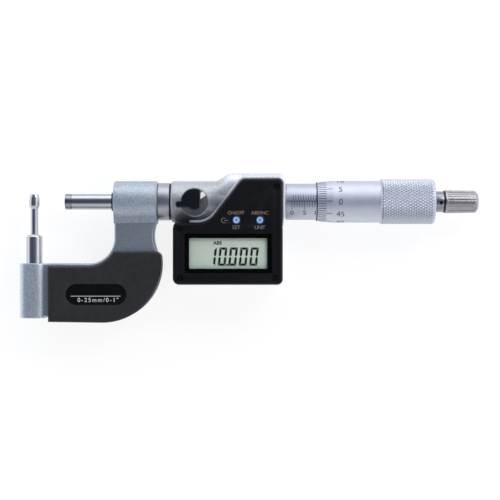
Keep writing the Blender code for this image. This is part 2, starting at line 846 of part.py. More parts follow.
def housing_posts():
    """Screw posts, board standoffs and the battery tube that rise from the tray's floor."""
    floor = tray_floor() - TRAY_WALL / 2
    posts = []
    for x, y in SCREW_PLACES:
        if y < PANEL_STEP:
            posts.append(rod(floor, seat_depth(), SCREW_POST_RADIUS, "Z", SIDES_SMALL, (x, y)))
    top = board_depth() - BOARD_THICKNESS - SEAT_GAP
    for x in (-STANDOFF_X, STANDOFF_X):
        for y in (STANDOFF_HIGH, STANDOFF_LOW):
            posts.append(rod(floor, top, STANDOFF_RADIUS, "Z", SIDES_SMALL, (x, y)))
    battery_top = battery_ledge() + CAP_NECK + BATTERY_HEIGHT
    tube_radius = CAP_RADIUS + RUNNING_GAP + BATTERY_TUBE_WALL
    posts.append(rod(floor, battery_top, tube_radius, "Z", SIDES, (BATTERY_X, BATTERY_Y)))
    return posts


def spindle_line_cutter():
    spigot_end = STEM_RIGHT + STEM_SPIGOT_LENGTH + SEAT_GAP
    passage = SPINDLE_RADIUS + 2 * RUNNING_GAP
    profile = [
        (HOUSING_LEFT - OVERCUT, 0),
        (HOUSING_LEFT - OVERCUT, STEM_SPIGOT_RADIUS + RUNNING_GAP),
        (spigot_end, STEM_SPIGOT_RADIUS + RUNNING_GAP),
        (spigot_end, passage),
        (ENCODER_LEFT, passage),
        (ENCODER_LEFT, ENCODER_BORE),
        (HOUSING_RIGHT + OVERCUT, ENCODER_BORE),
        (HOUSING_RIGHT + OVERCUT, 0),
    ]
    return turned(profile)


def battery_cutter():
    back = -AXIS_HEIGHT - OVERCUT
    ledge = battery_ledge()
    bore = cap_neck_radius() + SEAT_GAP
    profile = [
        (back, 0),
        (back, CAP_RADIUS + RUNNING_GAP),
        (ledge, CAP_RADIUS + RUNNING_GAP),
        (ledge, bore),
        (PANEL_FACE, bore),
        (PANEL_FACE, 0),
    ]
    return turned(profile, "Z", SIDES, (BATTERY_X, BATTERY_Y))


def board_tongue():
    return BUTTON_LEFT_X - BOARD_TONGUE_MARGIN, BUTTON_RIGHT_X + BOARD_TONGUE_MARGIN


def build_housing(line):
    body = housing_body()
    seat = extruded(panel_outline(RUNNING_GAP), seat_depth(), PANEL_FACE + OVERCUT)
    room = extruded(tray_outline(TRAY_WALL, PANEL_STEP - CORNER_STEP), tray_floor(), PANEL_FACE)
    hollowed = minus(body, seat, room, solver=CASTING_SOLVER)
    body = union(hollowed, *housing_posts(), solver=CASTING_SOLVER)
    tongue_left, tongue_right = board_tongue()
    pocket = block(
        tongue_left - SEAT_GAP,
        tongue_right + SEAT_GAP,
        BOARD_TOP - OVERCUT,
        BOARD_TONGUE_TOP + SEAT_GAP,
        board_depth() - BOARD_THICKNESS - SEAT_GAP,
        PANEL_FACE,
    )
    lock_bore = rod(0.0, PANEL_FACE, LOCK_STUD_RADIUS + SEAT_GAP, "Z", SIDES_HIDDEN, (LOCK_X, 0.0))
    cutters = [spindle_line_cutter(), battery_cutter(), pocket, lock_bore]
    flange_room = button_flange_top() - BUTTON_FLANGE_HEIGHT - BUTTON_TRAVEL - RUNNING_GAP
    for x in (BUTTON_LEFT_X, BUTTON_RIGHT_X):
        well = BUTTON_FLANGE + SEAT_GAP
        cutters.append(rod(flange_room, PANEL_FACE, well, "Z", SIDES_HIDDEN, (x, BUTTON_Y)))
    screw_end = screw_head_seat() - SCREW_LENGTH - SEAT_GAP
    for place in SCREW_PLACES:
        cutters.append(rod(screw_end, PANEL_FACE, SCREW_RADIUS + RUNNING_GAP, "Z", SIDES_SMALL, place))
    made = minus(body, *cutters, solver=CASTING_SOLVER)
    piece("head_housing", made, "housing_paint", line)


def screw_head_seat():
    return PANEL_FACE - SCREW_SINK - SCREW_HEAD_HEIGHT - RUNNING_GAP


def lens_floor():
    return PANEL_FACE - LENS_RECESS


def lens_outline(gap=0.0):
    return rounded_box(
        WINDOW_LEFT - LENS_BORDER + gap,
        WINDOW_RIGHT + LENS_BORDER - gap,
        WINDOW_BOTTOM - LENS_BORDER + gap,
        WINDOW_TOP + LENS_BORDER - gap,
        LENS_CORNER,
    )


def build_panel(line):
    plate_back = PANEL_FACE - PANEL_PLATE
    plate = extruded(panel_outline(), plate_back, PANEL_FACE, PANEL_EDGE)
    skirt_top = PANEL_STEP - CORNER_STEP - SEAT_GAP
    skirt_low = TRAY_FRONT + SEAT_GAP
    skirt = extruded(tray_outline(0.0, skirt_top), skirt_low, plate_back + PANEL_PLATE / 4)
    room = extruded(tray_outline(PANEL_SKIRT_WALL, 0.0), skirt_low - OVERCUT, plate_back + PANEL_PLATE)
    body = union(minus(skirt, room), plate)
    cutters = [
        extruded(lens_outline(), lens_floor(), PANEL_FACE + OVERCUT),
        block(WINDOW_LEFT, WINDOW_RIGHT, WINDOW_BOTTOM, WINDOW_TOP, 0.0, PANEL_FACE),
    ]
    for x in (BUTTON_LEFT_X, BUTTON_RIGHT_X):
        cutters.append(rod(0.0, PANEL_FACE + OVERCUT, BUTTON_HOLE, "Z", SIDES_HIDDEN, (x, BUTTON_Y)))
    head_floor = screw_head_seat() - RUNNING_GAP
    for place in SCREW_PLACES:
        profile = [
            (0.0, 0),
            (0.0, SCREW_RADIUS + RUNNING_GAP),
            (head_floor, SCREW_RADIUS + RUNNING_GAP),
            (head_floor, SCREW_HEAD_RADIUS + RUNNING_GAP),
            (PANEL_FACE + OVERCUT, SCREW_HEAD_RADIUS + RUNNING_GAP),
            (PANEL_FACE + OVERCUT, 0),
        ]
        cutters.append(turned(profile, "Z", SIDES_SMALL, place))
    piece("front_panel", minus(body, *cutters), "panel_plastic", line)


def build_panel_screws(line):
    head = screw_head_seat()
    top = head + SCREW_HEAD_HEIGHT
    profile = [
        (head - SCREW_LENGTH, 0),
        (head - SCREW_LENGTH, SCREW_RADIUS),
        (head, SCREW_RADIUS),
        (head, SCREW_HEAD_RADIUS),
        (top, SCREW_HEAD_RADIUS),
        (top, 0),
    ]
    for number, (x, y) in enumerate(SCREW_PLACES, start=1):
        screw = turned(profile, "Z", SIDES_SMALL, (x, y))
        reach = SCREW_HEAD_RADIUS + SCREW_SLOT
        half = SCREW_SLOT / 2
        slot = block(x - reach, x + reach, y - half, y + half, top - SCREW_SLOT, top + OVERCUT)
        piece(f"panel_screw_{number}", minus(screw, slot), "black_steel", line)


def build_display(line):
    lens_low = lens_floor() + RUNNING_GAP
    lens = extruded(lens_outline(RUNNING_GAP), lens_low, lens_low + LENS_THICKNESS)
    piece("window_lens", lens, "clear_lens", line)
    lcd_low = seat_depth() - LCD_THICKNESS
    lcd = block(
        WINDOW_LEFT - LCD_BORDER,
        WINDOW_RIGHT + LCD_BORDER,
        WINDOW_BOTTOM - LCD_BORDER,
        WINDOW_TOP + LCD_BORDER,
        lcd_low,
        seat_depth(),
    )
    piece("lcd", lcd, "lcd_glass", line)
    tongue_left, tongue_right = board_tongue()
    outline = [
        (-BOARD_HALF_WIDTH, BOARD_BOTTOM),
        (BOARD_HALF_WIDTH, BOARD_BOTTOM),
        (BOARD_HALF_WIDTH, BOARD_TOP),
        (tongue_right, BOARD_TOP),
        (tongue_right, BOARD_TONGUE_TOP),
        (tongue_left, BOARD_TONGUE_TOP),
        (tongue_left, BOARD_TOP),
        (-BOARD_HALF_WIDTH, BOARD_TOP),
    ]
    board = extruded(outline, board_depth() - BOARD_THICKNESS, board_depth())
    piece("circuit_board", board, "circuit_board", line)
    mat = block(
        tongue_left + SEAT_GAP,
        tongue_right - SEAT_GAP,
        BOARD_TOP + SEAT_GAP,
        BOARD_TONGUE_TOP - SEAT_GAP,
        mat_top() - MAT_THICKNESS,
        mat_top(),
    )
    piece("button_mat", mat, "black_rubber", line)


def mat_top():
    return board_depth() + RUNNING_GAP + MAT_THICKNESS


def button_flange_top():
    return PANEL_FACE - PANEL_PLATE - RUNNING_GAP


def build_buttons(line):
    """Two dished key caps, each on its own line of travel."""
    flange_top = button_flange_top()
    top = PANEL_FACE + BUTTON_PROUD
    ring = top - BUTTON_CAP_HEIGHT
    collar = BUTTON_HOLE - RUNNING_GAP
    profile = [
        (flange_top - BUTTON_FLANGE_HEIGHT, 0),
        (flange_top - BUTTON_FLANGE_HEIGHT, BUTTON_FLANGE),
        (flange_top, BUTTON_FLANGE),
        (flange_top, collar),
        (ring, collar),
        (ring, BUTTON_CAP_RADIUS),
        (top, BUTTON_CAP_RADIUS),
        (top, BUTTON_CAP_RADIUS - BUTTON_DISH),
        (top - BUTTON_DISH, 0),
    ]
    for name, x in (("button_power", BUTTON_LEFT_X), ("button_mode", BUTTON_RIGHT_X)):
        travel = empty(f"{name}_travel", (x, BUTTON_Y, 0.0), line)
        piece(name, turned(profile, "Z", SIDES_HIDDEN), "button_rubber", travel)


def build_battery(line):
    """Coin-slot cap in the flat back, its seal, the cell and the sprung contact above it."""
    turn = empty("battery_cap_turn", (BATTERY_X, BATTERY_Y, 0.0), line)
    back = CAP_RECESS - AXIS_HEIGHT
    flange = back + CAP_FLANGE
    neck = flange + CAP_NECK
    cap_profile = [
        (back, 0),
        (back, CAP_RADIUS),
        (flange, CAP_RADIUS),
        (flange, cap_neck_radius()),
        (neck, cap_neck_radius()),
        (neck, 0),
    ]
    half_length = CAP_SLOT_LENGTH / 2
    half_width = CAP_SLOT_WIDTH / 2
    slot_top = back + CAP_SLOT_DEPTH
    slot = block(-half_length, half_length, -half_width, half_width, back - OVERCUT, slot_top)
    cap = minus(turned(cap_profile, "Z"), slot)
    piece("battery_cap", cap, "panel_plastic", turn)
    seal_low = flange + RUNNING_GAP
    seal_profile = [
        (seal_low, cap_neck_radius() + JOINT_LINE),
        (seal_low, CAP_RADIUS),
        (seal_low + CAP_SEAL_HEIGHT, CAP_RADIUS),
        (seal_low + CAP_SEAL_HEIGHT, cap_neck_radius() + JOINT_LINE),
    ]
    seal = turned(seal_profile, "Z", SIDES_HIDDEN, (BATTERY_X, BATTERY_Y))
    piece("battery_cap_seal", seal, "black_rubber", line)
    cell_low = neck + RUNNING_GAP
    cell_top = cell_low + BATTERY_HEIGHT
    centre = (BATTERY_X, BATTERY_Y)
    cell = rod(cell_low, cell_top, BATTERY_RADIUS, "Z", SIDES_HIDDEN, centre)
    piece("battery", cell, "battery_steel", line)
    plate = cell_top + RUNNING_GAP
    contact_top = board_depth() - BOARD_THICKNESS - RUNNING_GAP
    contact_profile = [
        (plate, 0),
        (plate, CONTACT_RADIUS),
        (plate + CONTACT_PLATE, CONTACT_RADIUS),
        (plate + CONTACT_PLATE, CONTACT_POST_RADIUS),
        (contact_top, CONTACT_POST_RADIUS),
        (contact_top, 0),
    ]
    contact = turned(contact_profile, "Z", SIDES_SMALL, centre)
    piece("battery_contact", contact, "brass", line)


def lock_outline():
    """The raised part of the lock's disc and the thumb lever that runs on from it."""
    tip = LOCK_LEVER_TIP
    left = LOCK_REACH - tip
    radius = LOCK_RADIUS - LOCK_INSET
    start = math.degrees(math.acos(LOCK_HEEL / radius))
    meet = math.degrees(math.asin(LOCK_LEVER_TOP / radius))
    return [
        (LOCK_HEEL, LOCK_LEVER_BOTTOM),
        *arc((0.0, 0.0), radius, start, 180 - meet),
        *arc((-left, LOCK_LEVER_TOP - tip), tip, 90, 180),
        *arc((-left, LOCK_LEVER_BOTTOM + tip), tip, 180, 270),
    ]


def build_lock(line):
    """Thumb lever on a screw that presses a soft pad on the spindle."""
    turn = empty("lock_turn", (LOCK_X, 0.0, 0.0), line)
    foot = BARREL_RADIUS + LOCK_BOSS_PROUD + SEAT_GAP
    base_top = foot + LOCK_BASE_HEIGHT
    base_profile = [
        (foot, 0),
        (foot, LOCK_RADIUS),
        (foot + LOCK_BASE_RIM, LOCK_RADIUS),
        (base_top, LOCK_BASE_FLAT),
        (base_top, 0),
    ]
    base = turned(base_profile, "Z")
    grip = extruded(lock_outline(), foot + LOCK_LEVER_LOW, foot + LOCK_HEIGHT, LOCK_EDGE, 0.0, 2)
    stud_hole = LOCK_STUD_RADIUS + JOINT_LINE
    socket = rod(foot - OVERCUT, foot + LOCK_STUD_SINK, stud_hole, "Z", SIDES_HIDDEN)
    made = minus(union(base, grip), socket)
    piece("lock_lever", made, "lock_black", turn)
    pad_low = SPINDLE_RADIUS + RUNNING_GAP
    pad_top = pad_low + LOCK_PAD_HEIGHT
    pad = rod(pad_low, pad_top, LOCK_STUD_RADIUS, "Z", SIDES_HIDDEN, (LOCK_X, 0.0))
    piece("lock_pad", pad, "brass", line)
    stud_top = foot + LOCK_STUD_SINK - RUNNING_GAP
    stud = rod(pad_top + RUNNING_GAP, stud_top, LOCK_STUD_RADIUS, "Z", SIDES_HIDDEN)
    piece("lock_screw", stud, "black_steel", turn)


def build_encoder(line):
    """Ring scale in the housing and the rotor that the spindle turns through a key."""
    stator_radius = ENCODER_BORE - RUNNING_GAP
    stator_right = STATOR_LEFT + STATOR_THICKNESS
    stator = tube(STATOR_LEFT, stator_right, STATOR_BORE, stator_radius, sides=SIDES_HIDDEN)
    piece("encoder_stator", stator, "circuit_board", line)
    rotor_left = stator_right + ROTOR_GAP
    hub_left = rotor_left + ROTOR_THICKNESS
    hub_right = hub_left + ROTOR_HUB_LENGTH
    bore = SPINDLE_RADIUS + RUNNING_GAP
    profile = [
        (rotor_left, bore),
        (rotor_left, ROTOR_RADIUS),
        (hub_left, ROTOR_RADIUS),
        (hub_left, ROTOR_HUB_RADIUS),
        (hub_right, ROTOR_HUB_RADIUS),
        (hub_right, bore),
    ]
    key_place = (key_x(), 0.0)
    hole_radius = KEY_RADIUS + RUNNING_GAP
    key_hole = rod(0.0, ROTOR_RADIUS + OVERCUT, hole_radius, "Z", SIDES_SMALL, key_place)
    piece("encoder_rotor", minus(turned(profile, sides=SIDES_HIDDEN), key_hole), "brass", line)
    key_low = SPINDLE_RADIUS - KEYWAY_DEPTH + RUNNING_GAP
    key = rod(key_low, ROTOR_HUB_RADIUS, KEY_RADIUS, "Z", SIDES_SMALL, key_place)
    piece("rotor_key", key, "ground_steel", line)
    spacer_right = HOUSING_RIGHT - INNER_FLANGE_LENGTH - SEAT_GAP
    spacer = tube(hub_right + RUNNING_GAP, spacer_right, stator_radius - SPACER_WALL, stator_radius,
                  sides=SIDES_HIDDEN)
    piece("rotor_spacer", spacer, "brass", line)


def build_sleeve(line):
    """Graduated outer sleeve on the inner sleeve, whose slit end is the spindle's nut."""
    inner_radius = SLEEVE_RADIUS - SLEEVE_WALL - RUNNING_GAP
    sleeve = tube(HOUSING_RIGHT + RUNNING_GAP, SLEEVE_RIGHT, inner_radius + RUNNING_GAP, SLEEVE_RADIUS,
                  SLEEVE_CHAMFER)
    piece("sleeve", sleeve, "satin_chrome", line)
    flange_left = HOUSING_RIGHT - INNER_FLANGE_LENGTH
    clear_bore = THREAD_RADIUS + 2 * RUNNING_GAP
    nut_bore = THREAD_RADIUS + RUNNING_GAP
    profile = [
        (flange_left, clear_bore),
        (flange_left, ENCODER_BORE - RUNNING_GAP),
        (HOUSING_RIGHT, ENCODER_BORE - RUNNING_GAP),
        (HOUSING_RIGHT, inner_radius),
        (INNER_RIGHT, inner_radius),
        (INNER_RIGHT, nut_bore),
        (NUT_LEFT, nut_bore),
        (NUT_LEFT, clear_bore),
    ]
    piece("inner_sleeve", turned(profile), "ground_steel", line)
    adjuster_left = SLEEVE_RIGHT + RUNNING_GAP
    adjuster = tube(adjuster_left, adjuster_left + ADJUSTER_LENGTH, inner_radius + RUNNING_GAP,
                    ADJUSTER_RADIUS, SLEEVE_CHAMFER)
    piece("adjusting_nut", adjuster, "ground_steel", line)


def build_spindle(line):
    face = spindle_face()
    tip_right = face + TIP_LENGTH
    tip_profile = [
        (face, 0),
        (face, SPINDLE_RADIUS - TIP_CHAMFER),
        (face + TIP_CHAMFER, SPINDLE_RADIUS),
        (tip_right, SPINDLE_RADIUS),
        (tip_right, 0),
    ]
    piece("spindle_tip", turned(tip_profile), "carbide", line)
    taper_left = THIMBLE_WALL_LEFT - RUNNING_GAP
    hole = RATCHET_STUD_RADIUS + RUNNING_GAP
    profile = [
        (tip_right + JOINT_LINE, 0),
        (tip_right + JOINT_LINE, SPINDLE_RADIUS),
        (THREAD_LEFT, SPINDLE_RADIUS),
        (THREAD_LEFT, THREAD_RADIUS),
        (THREAD_RIGHT, THREAD_RADIUS),
        (THREAD_RIGHT, THREAD_RELIEF),
        (taper_left, THREAD_RELIEF),
        (taper_left, TAPER_LEFT_RADIUS),
        (TAPER_RIGHT, TAPER_RIGHT_RADIUS),
        (TAPER_RIGHT, hole),
        (REAR_HOLE_LEFT, hole),
        (REAR_HOLE_LEFT, 0),
    ]
    half_width = KEY_RADIUS + SEAT_GAP
    keyway = block(
        key_x() - (MEASURING_RANGE - OPENING) - KEYWAY_OVERRUN,
        key_x() + OPENING + KEYWAY_OVERRUN,
        -half_width,
        half_width,
        SPINDLE_RADIUS - KEYWAY_DEPTH,
        SPINDLE_RADIUS + OVERCUT,
    )
    piece("spindle", minus(turned(profile), keyway), "ground_steel", line)


def build_thimble(line):
    bore = SLEEVE_RADIUS + RUNNING_GAP
    groove_right = KNURL_LEFT + KNURL_GROOVE
    end_round = [
        (THIMBLE_RIGHT - KNURL_END_ROUND * (1 - math.cos(math.radians(a))),
         KNURL_RADIUS - KNURL_END_ROUND * (1 - math.sin(math.radians(a))))
        for a in (90, 45, 0)
    ]
    taper_gap = SEAT_GAP
    profile = [
        (THIMBLE_LEFT, bore),
        (THIMBLE_LEFT, bore + THIMBLE_RIM),
        (THIMBLE_LEFT + THIMBLE_BEVEL, THIMBLE_RADIUS),
        (KNURL_RAMP, THIMBLE_RADIUS),
        (KNURL_LEFT, KNURL_RADIUS),
        (KNURL_LEFT, THIMBLE_RADIUS),
        (groove_right, THIMBLE_RADIUS),
        (groove_right, KNURL_RADIUS),
        *end_round,
        (THIMBLE_RIGHT, TAPER_RIGHT_RADIUS + taper_gap),
        (THIMBLE_WALL_LEFT, TAPER_LEFT_RADIUS + taper_gap),
        (THIMBLE_WALL_LEFT, bore),
    ]
    piece("thimble", turned(profile), "satin_chrome", line)


def ratchet_collar_left():
    return THIMBLE_RIGHT + SEAT_GAP


def shank_right():
    return ratchet_collar_left() + RATCHET_COLLAR_LENGTH + RATCHET_SHANK_LENGTH


def knob_left():
    ring_left = ratchet_collar_left() + RATCHET_COLLAR_LENGTH + RUNNING_GAP
    return ring_left + RATCHET_RING_LENGTH + RUNNING_GAP


def build_ratchet_base(line):
    """Screwed-in base with its spanner hole, the dark ring and the clutch inside the knob."""
    collar_left = ratchet_collar_left()
    collar_right = collar_left + RATCHET_COLLAR_LENGTH
    screw_hole = RATCHET_SCREW_RADIUS + RUNNING_GAP
    hole_left = shank_right() - RATCHET_SCREW_LENGTH - SEAT_GAP
    profile = [
        (REAR_HOLE_LEFT + SEAT_GAP, 0),
        (REAR_HOLE_LEFT + SEAT_GAP, RATCHET_STUD_RADIUS),
        (collar_left, RATCHET_STUD_RADIUS),
        (collar_left, RATCHET_COLLAR_RADIUS),
        (collar_right, RATCHET_COLLAR_RADIUS),
        (collar_right, RATCHET_SHANK_RADIUS),
        (shank_right(), RATCHET_SHANK_RADIUS),
        (shank_right(), screw_hole),
        (hole_left, screw_hole),
        (hole_left, 0),
    ]
    hole_floor = RATCHET_COLLAR_RADIUS - RATCHET_HOLE_DEPTH
    hole_centre = ((collar_left + collar_right) / 2, 0.0)
    hole_top = RATCHET_COLLAR_RADIUS + OVERCUT
    hole = rod(hole_floor, hole_top, RATCHET_HOLE_RADIUS, "Z", SIDES_SMALL, hole_centre)
    piece("ratchet_base", minus(turned(profile, sides=SIDES_HIDDEN), hole), "satin_chrome", line)
    bore = RATCHET_SHANK_RADIUS + RUNNING_GAP
    ring_left = collar_right + RUNNING_GAP
    ring_right = ring_left + RATCHET_RING_LENGTH
    ring = tube(ring_left, ring_right, bore, RATCHET_RING_RADIUS, sides=SIDES_HIDDEN)
    piece("ratchet_ring", ring, "black_steel", line)
    clutch_left = knob_left() + RUNNING_GAP
    clutch_right = clutch_left + CLUTCH_LENGTH
    clutch_radius = KNOB_BORE - SEAT_GAP
    clutch = tube(clutch_left, clutch_right, bore, clutch_radius, sides=SIDES_HIDDEN)
    piece("ratchet_clutch", clutch, "ground_steel", line)
    head_left = shank_right() + RUNNING_GAP
    screw_profile = [
        (shank_right() - RATCHET_SCREW_LENGTH, 0),
        (shank_right() - RATCHET_SCREW_LENGTH, RATCHET_SCREW_RADIUS),
        (head_left, RATCHET_SCREW_RADIUS),
        (head_left, RATCHET_SCREW_HEAD),
        (head_left + RATCHET_SCREW_HEIGHT, RATCHET_SCREW_HEAD),
        (head_left + RATCHET_SCREW_HEIGHT, 0),
    ]
    piece("ratchet_screw", turned(screw_profile, sides=SIDES_HIDDEN), "ground_steel", line)


def build_ratchet_spring(line):
    """Wound wire between the clutch and the head of the ratchet screw."""
    left = knob_left() + RUNNING_GAP + CLUTCH_LENGTH + RUNNING_GAP + SPRING_WIRE
    right = shank_right() - RUNNING_GAP - SPRING_WIRE
    steps = SPRING_TURNS * 10
    wire_sides = 5
    rings = []
    for i in range(steps + 1):
        angle = 2 * math.pi * SPRING_TURNS * i / steps
        along = left + (right - left) * i / steps
        ring = []
        for k in range(wire_sides):
            around = 2 * math.pi * k / wire_sides
            radius = SPRING_RADIUS + SPRING_WIRE * math.cos(around)
            x = along + SPRING_WIRE * math.sin(around)
            ring.append(on_axis("X", x, radius * math.cos(angle), radius * math.sin(angle)))
        rings.append(ring)
    start = sum(rings[0], Vector()) / wire_sides
    end = sum(rings[-1], Vector()) / wire_sides
    made = skinned([[start], *rings, [end]], looped=False)
    piece("ratchet_spring", made, "ground_steel", line)


def build_ratchet_knob(line):
    left = knob_left()
    right = left + KNOB_LENGTH
    flute_left = left + KNOB_FLANGE
    flute_right = right - KNOB_END_ROUND
    bore_end = right - KNOB_END_WALL
    stations = [
        (left, KNOB_BORE, 0.0),
        (left, KNOB_RADIUS, 0.0),
        (flute_left, KNOB_RADIUS, 0.0),
        (flute_left + KNOB_FLUTE_DEPTH, KNOB_RADIUS, KNOB_FLUTE_DEPTH),
        (flute_right, KNOB_END_RADIUS, KNOB_FLUTE_DEPTH),
        (right - KNOB_END_STEP, KNOB_END_RADIUS - KNOB_FLUTE_DEPTH, 0.0),
        (right, KNOB_END_RADIUS - KNOB_END_ROUND, 0.0),
    ]
    points_per_flute = 3
    sides = KNOB_FLUTES * points_per_flute
    rings = []
    for along, radius, flute in stations:
        ring = []
        for i in range(sides):
            angle = 2 * math.pi * i / sides
            reach = radius - (flute if i % points_per_flute == 0 else 0.0)
            ring.append(on_axis("X", along, reach * math.cos(angle), reach * math.sin(angle)))
        rings.append(ring)
    rings.append([on_axis("X", right, 0.0, 0.0)])
    rings.insert(0, [on_axis("X", bore_end, KNOB_BORE * math.cos(2 * math.pi * i / sides),
                             KNOB_BORE * math.sin(2 * math.pi * i / sides)) for i in range(sides)])
    rings.insert(0, [on_axis("X", bore_end, 0.0, 0.0)])
    piece("ratchet_knob", skinned(rings, looped=False), "satin_chrome", line)


def build():
    clear_scene()
    line = empty("spindle_line", (0.0, 0.0, AXIS_HEIGHT))
    build_frame(line)
    build_covers(line)
    build_anvil_pin(line)
    build_guide(line)
    build_housing(line)
    build_panel(line)
    build_panel_screws(line)
    build_display(line)
    build_buttons(line)
    build_battery(line)
    build_lock(line)
    build_encoder(line)
    build_sleeve(line)
    build_spindle(line)
    build_thimble(line)
    build_ratchet_base(line)
    build_ratchet_spring(line)
    build_ratchet_knob(line)


build()
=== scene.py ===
# %% [markdown]
# # A digital tube micrometer on a white table
# The tool lies on its back and the camera looks straight down on its display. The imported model
# gives every piece its place and its joint. This script rebuilds the pieces that show with finer
# edges, and gives each one the finish of the real thing: speckled paint, satin chrome, ground
# steel, black mouldings and a grey-green display.

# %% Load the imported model
import json
import math

import bmesh
import bpy
from mathutils import Matrix, Vector

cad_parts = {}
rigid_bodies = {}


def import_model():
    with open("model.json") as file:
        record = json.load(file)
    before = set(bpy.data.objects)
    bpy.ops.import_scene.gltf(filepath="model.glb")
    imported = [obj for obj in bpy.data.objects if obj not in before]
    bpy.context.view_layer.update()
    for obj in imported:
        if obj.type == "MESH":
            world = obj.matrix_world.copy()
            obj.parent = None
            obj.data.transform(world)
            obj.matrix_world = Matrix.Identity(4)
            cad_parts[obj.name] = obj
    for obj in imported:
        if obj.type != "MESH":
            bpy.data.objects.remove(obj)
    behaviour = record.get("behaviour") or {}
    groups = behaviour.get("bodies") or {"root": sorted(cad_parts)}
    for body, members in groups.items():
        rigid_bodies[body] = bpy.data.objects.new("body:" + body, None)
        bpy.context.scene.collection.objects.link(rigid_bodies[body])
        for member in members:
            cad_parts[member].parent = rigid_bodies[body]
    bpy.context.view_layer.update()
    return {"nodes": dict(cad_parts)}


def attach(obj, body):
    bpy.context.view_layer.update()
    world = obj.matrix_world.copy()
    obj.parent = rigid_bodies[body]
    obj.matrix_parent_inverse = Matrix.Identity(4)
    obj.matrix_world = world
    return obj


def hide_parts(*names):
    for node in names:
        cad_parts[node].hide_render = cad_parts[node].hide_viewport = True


for item in list(bpy.data.objects):
    bpy.data.objects.remove(item)
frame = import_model()
nodes = frame["nodes"]

# %% [markdown]
# ## Measuring from the spindle
# A micrometer is drawn from its measuring line, so every place here is in millimetres along the
# spindle (x), across it (y) and above it (depth). One helper turns that into Blender's metres.

# %% Units
MM = 0.001
AXIS_HEIGHT = 10.5


def spot(x, y, depth):
    """A place in metres from millimetres measured from the spindle's own line."""
    return Vector((x, y, depth + AXIS_HEIGHT)) * MM


# %% [markdown]
# ## The camera
# The photographer stood straight over the tool with a long lens, so the camera sits above the
# middle of the picture. It could be aimed at a target, but a new camera already looks straight
# down. The lens follows from how much of the table the picture shows.

# %% Camera
PICTURE_X = 8.8
PICTURE_Y = -19.3
CAMERA_DISTANCE = 550.0
PICTURE_WIDTH = 200.0
SENSOR = 36.0

camera_data = bpy.data.cameras.new("camera")
camera_data.sensor_width = SENSOR
camera_data.lens = SENSOR * CAMERA_DISTANCE / PICTURE_WIDTH
camera = bpy.data.objects.new("camera", camera_data)
camera.location = spot(PICTURE_X, PICTURE_Y, CAMERA_DISTANCE)
bpy.context.scene.collection.objects.link(camera)
bpy.context.scene.camera = camera
print("lens:", round(camera_data.lens, 1), "mm")

# %% [markdown]
# ## Solid-making helpers
# Most pieces are either turned on a lathe or cut from an outline. Both could be modelled by hand,
# but a function that takes a few sizes is easier to correct. `turned` spins a half outline round an
# axis and `skinned` closes a skin over rings. A lathe part never has a perfectly sharp corner, so
# `softened` rounds the corners of a half outline.

# %% Half outlines
CORNER_SHARE = 0.45


def softened(points, radius, steps=3):
    """A half outline with its inner corners rounded."""
    made = [points[0]]
    for before, corner, after in zip(points, points[1:], points[2:]):
        before, corner, after = Vector(before), Vector(corner), Vector(after)
        reach_in = min(radius, CORNER_SHARE * (before - corner).length)
        reach_out = min(radius, CORNER_SHARE * (after - corner).length)
        start = corner + (before - corner).normalized() * reach_in
        end = corner + (after - corner).normalized() * reach_out
        for i in range(steps + 1):
            t = i / steps
            made.append(tuple(start * (1 - t) ** 2 + corner * (2 * t * (1 - t)) + end * t ** 2))
    made.append(points[-1])
    return made


def tube_profile(left, right, inner, outer, edge=0.15):
    """A tube: its half outline is a closed box, away from the axis."""
    corners = [(left, outer), (right, outer), (right, inner), (left, inner)]
    closed = [corners[-1], *corners, corners[0]]
    return softened(closed, edge)[1:-1]


def rod_profile(points, edge=0.15):
    """A solid bar: its half outline starts and ends on the axis."""
    return softened([(points[0][0], 0), *points, (points[-1][0], 0)], edge)


# %% New objects
SAME_PLACE = 1e-7


def placed(name, data):
    """A new object, linked to the scene."""
    made = bpy.data.objects.new(name, data)
    bpy.context.scene.collection.objects.link(made)
    return made


def new_object(name, bm):
    """An object from a mesh in the making, with doubles merged and faces turned outwards."""
    bmesh.ops.remove_doubles(bm, verts=bm.verts[:], dist=SAME_PLACE)
    bmesh.ops.recalc_face_normals(bm, faces=bm.faces[:])
    mesh = bpy.data.meshes.new(name)
    bm.to_mesh(mesh)
    bm.free()
    return placed(name, mesh)


# %% Lathe work
LARGE_SIDES = 128
SIDES = 96
SMALL_SIDES = 64
TINY_SIDES = 48


def on_axis(axis, along, across, up, centre):
    """A place from its station along an axis and its two distances from it."""
    if axis == "X":
        return spot(along, across + centre[0], up + centre[1])
    if axis == "Y":
        return spot(across + centre[0], along, up + centre[1])
    return spot(across + centre[0], up + centre[1], along)


def turned(name, profile, axis="X", sides=SIDES, centre=(0.0, 0.0)):
    """A lathe-turned solid from (station, radius) points. A tube's profile closes on itself."""
    bm = bmesh.new()
    rings = []
    for along, radius in profile:
        if radius == 0:
            rings.append([bm.verts.new(on_axis(axis, along, 0.0, 0.0, centre))] * sides)
            continue
        ring = []
        for i in range(sides):
            angle = 2 * math.pi * i / sides
            place = on_axis(axis, along, radius * math.cos(angle), radius * math.sin(angle), centre)
            ring.append(bm.verts.new(place))
        rings.append(ring)
    pairs = list(zip(rings, rings[1:]))
    if profile[0][1] != 0:
        pairs.append((rings[-1], rings[0]))
    for lower, upper in pairs:
        for i in range(sides):
            corners = dict.fromkeys((lower[i - 1], lower[i], upper[i], upper[i - 1]))
            if len(corners) > 2:
                bm.faces.new(list(corners))
    return new_object(name, bm)


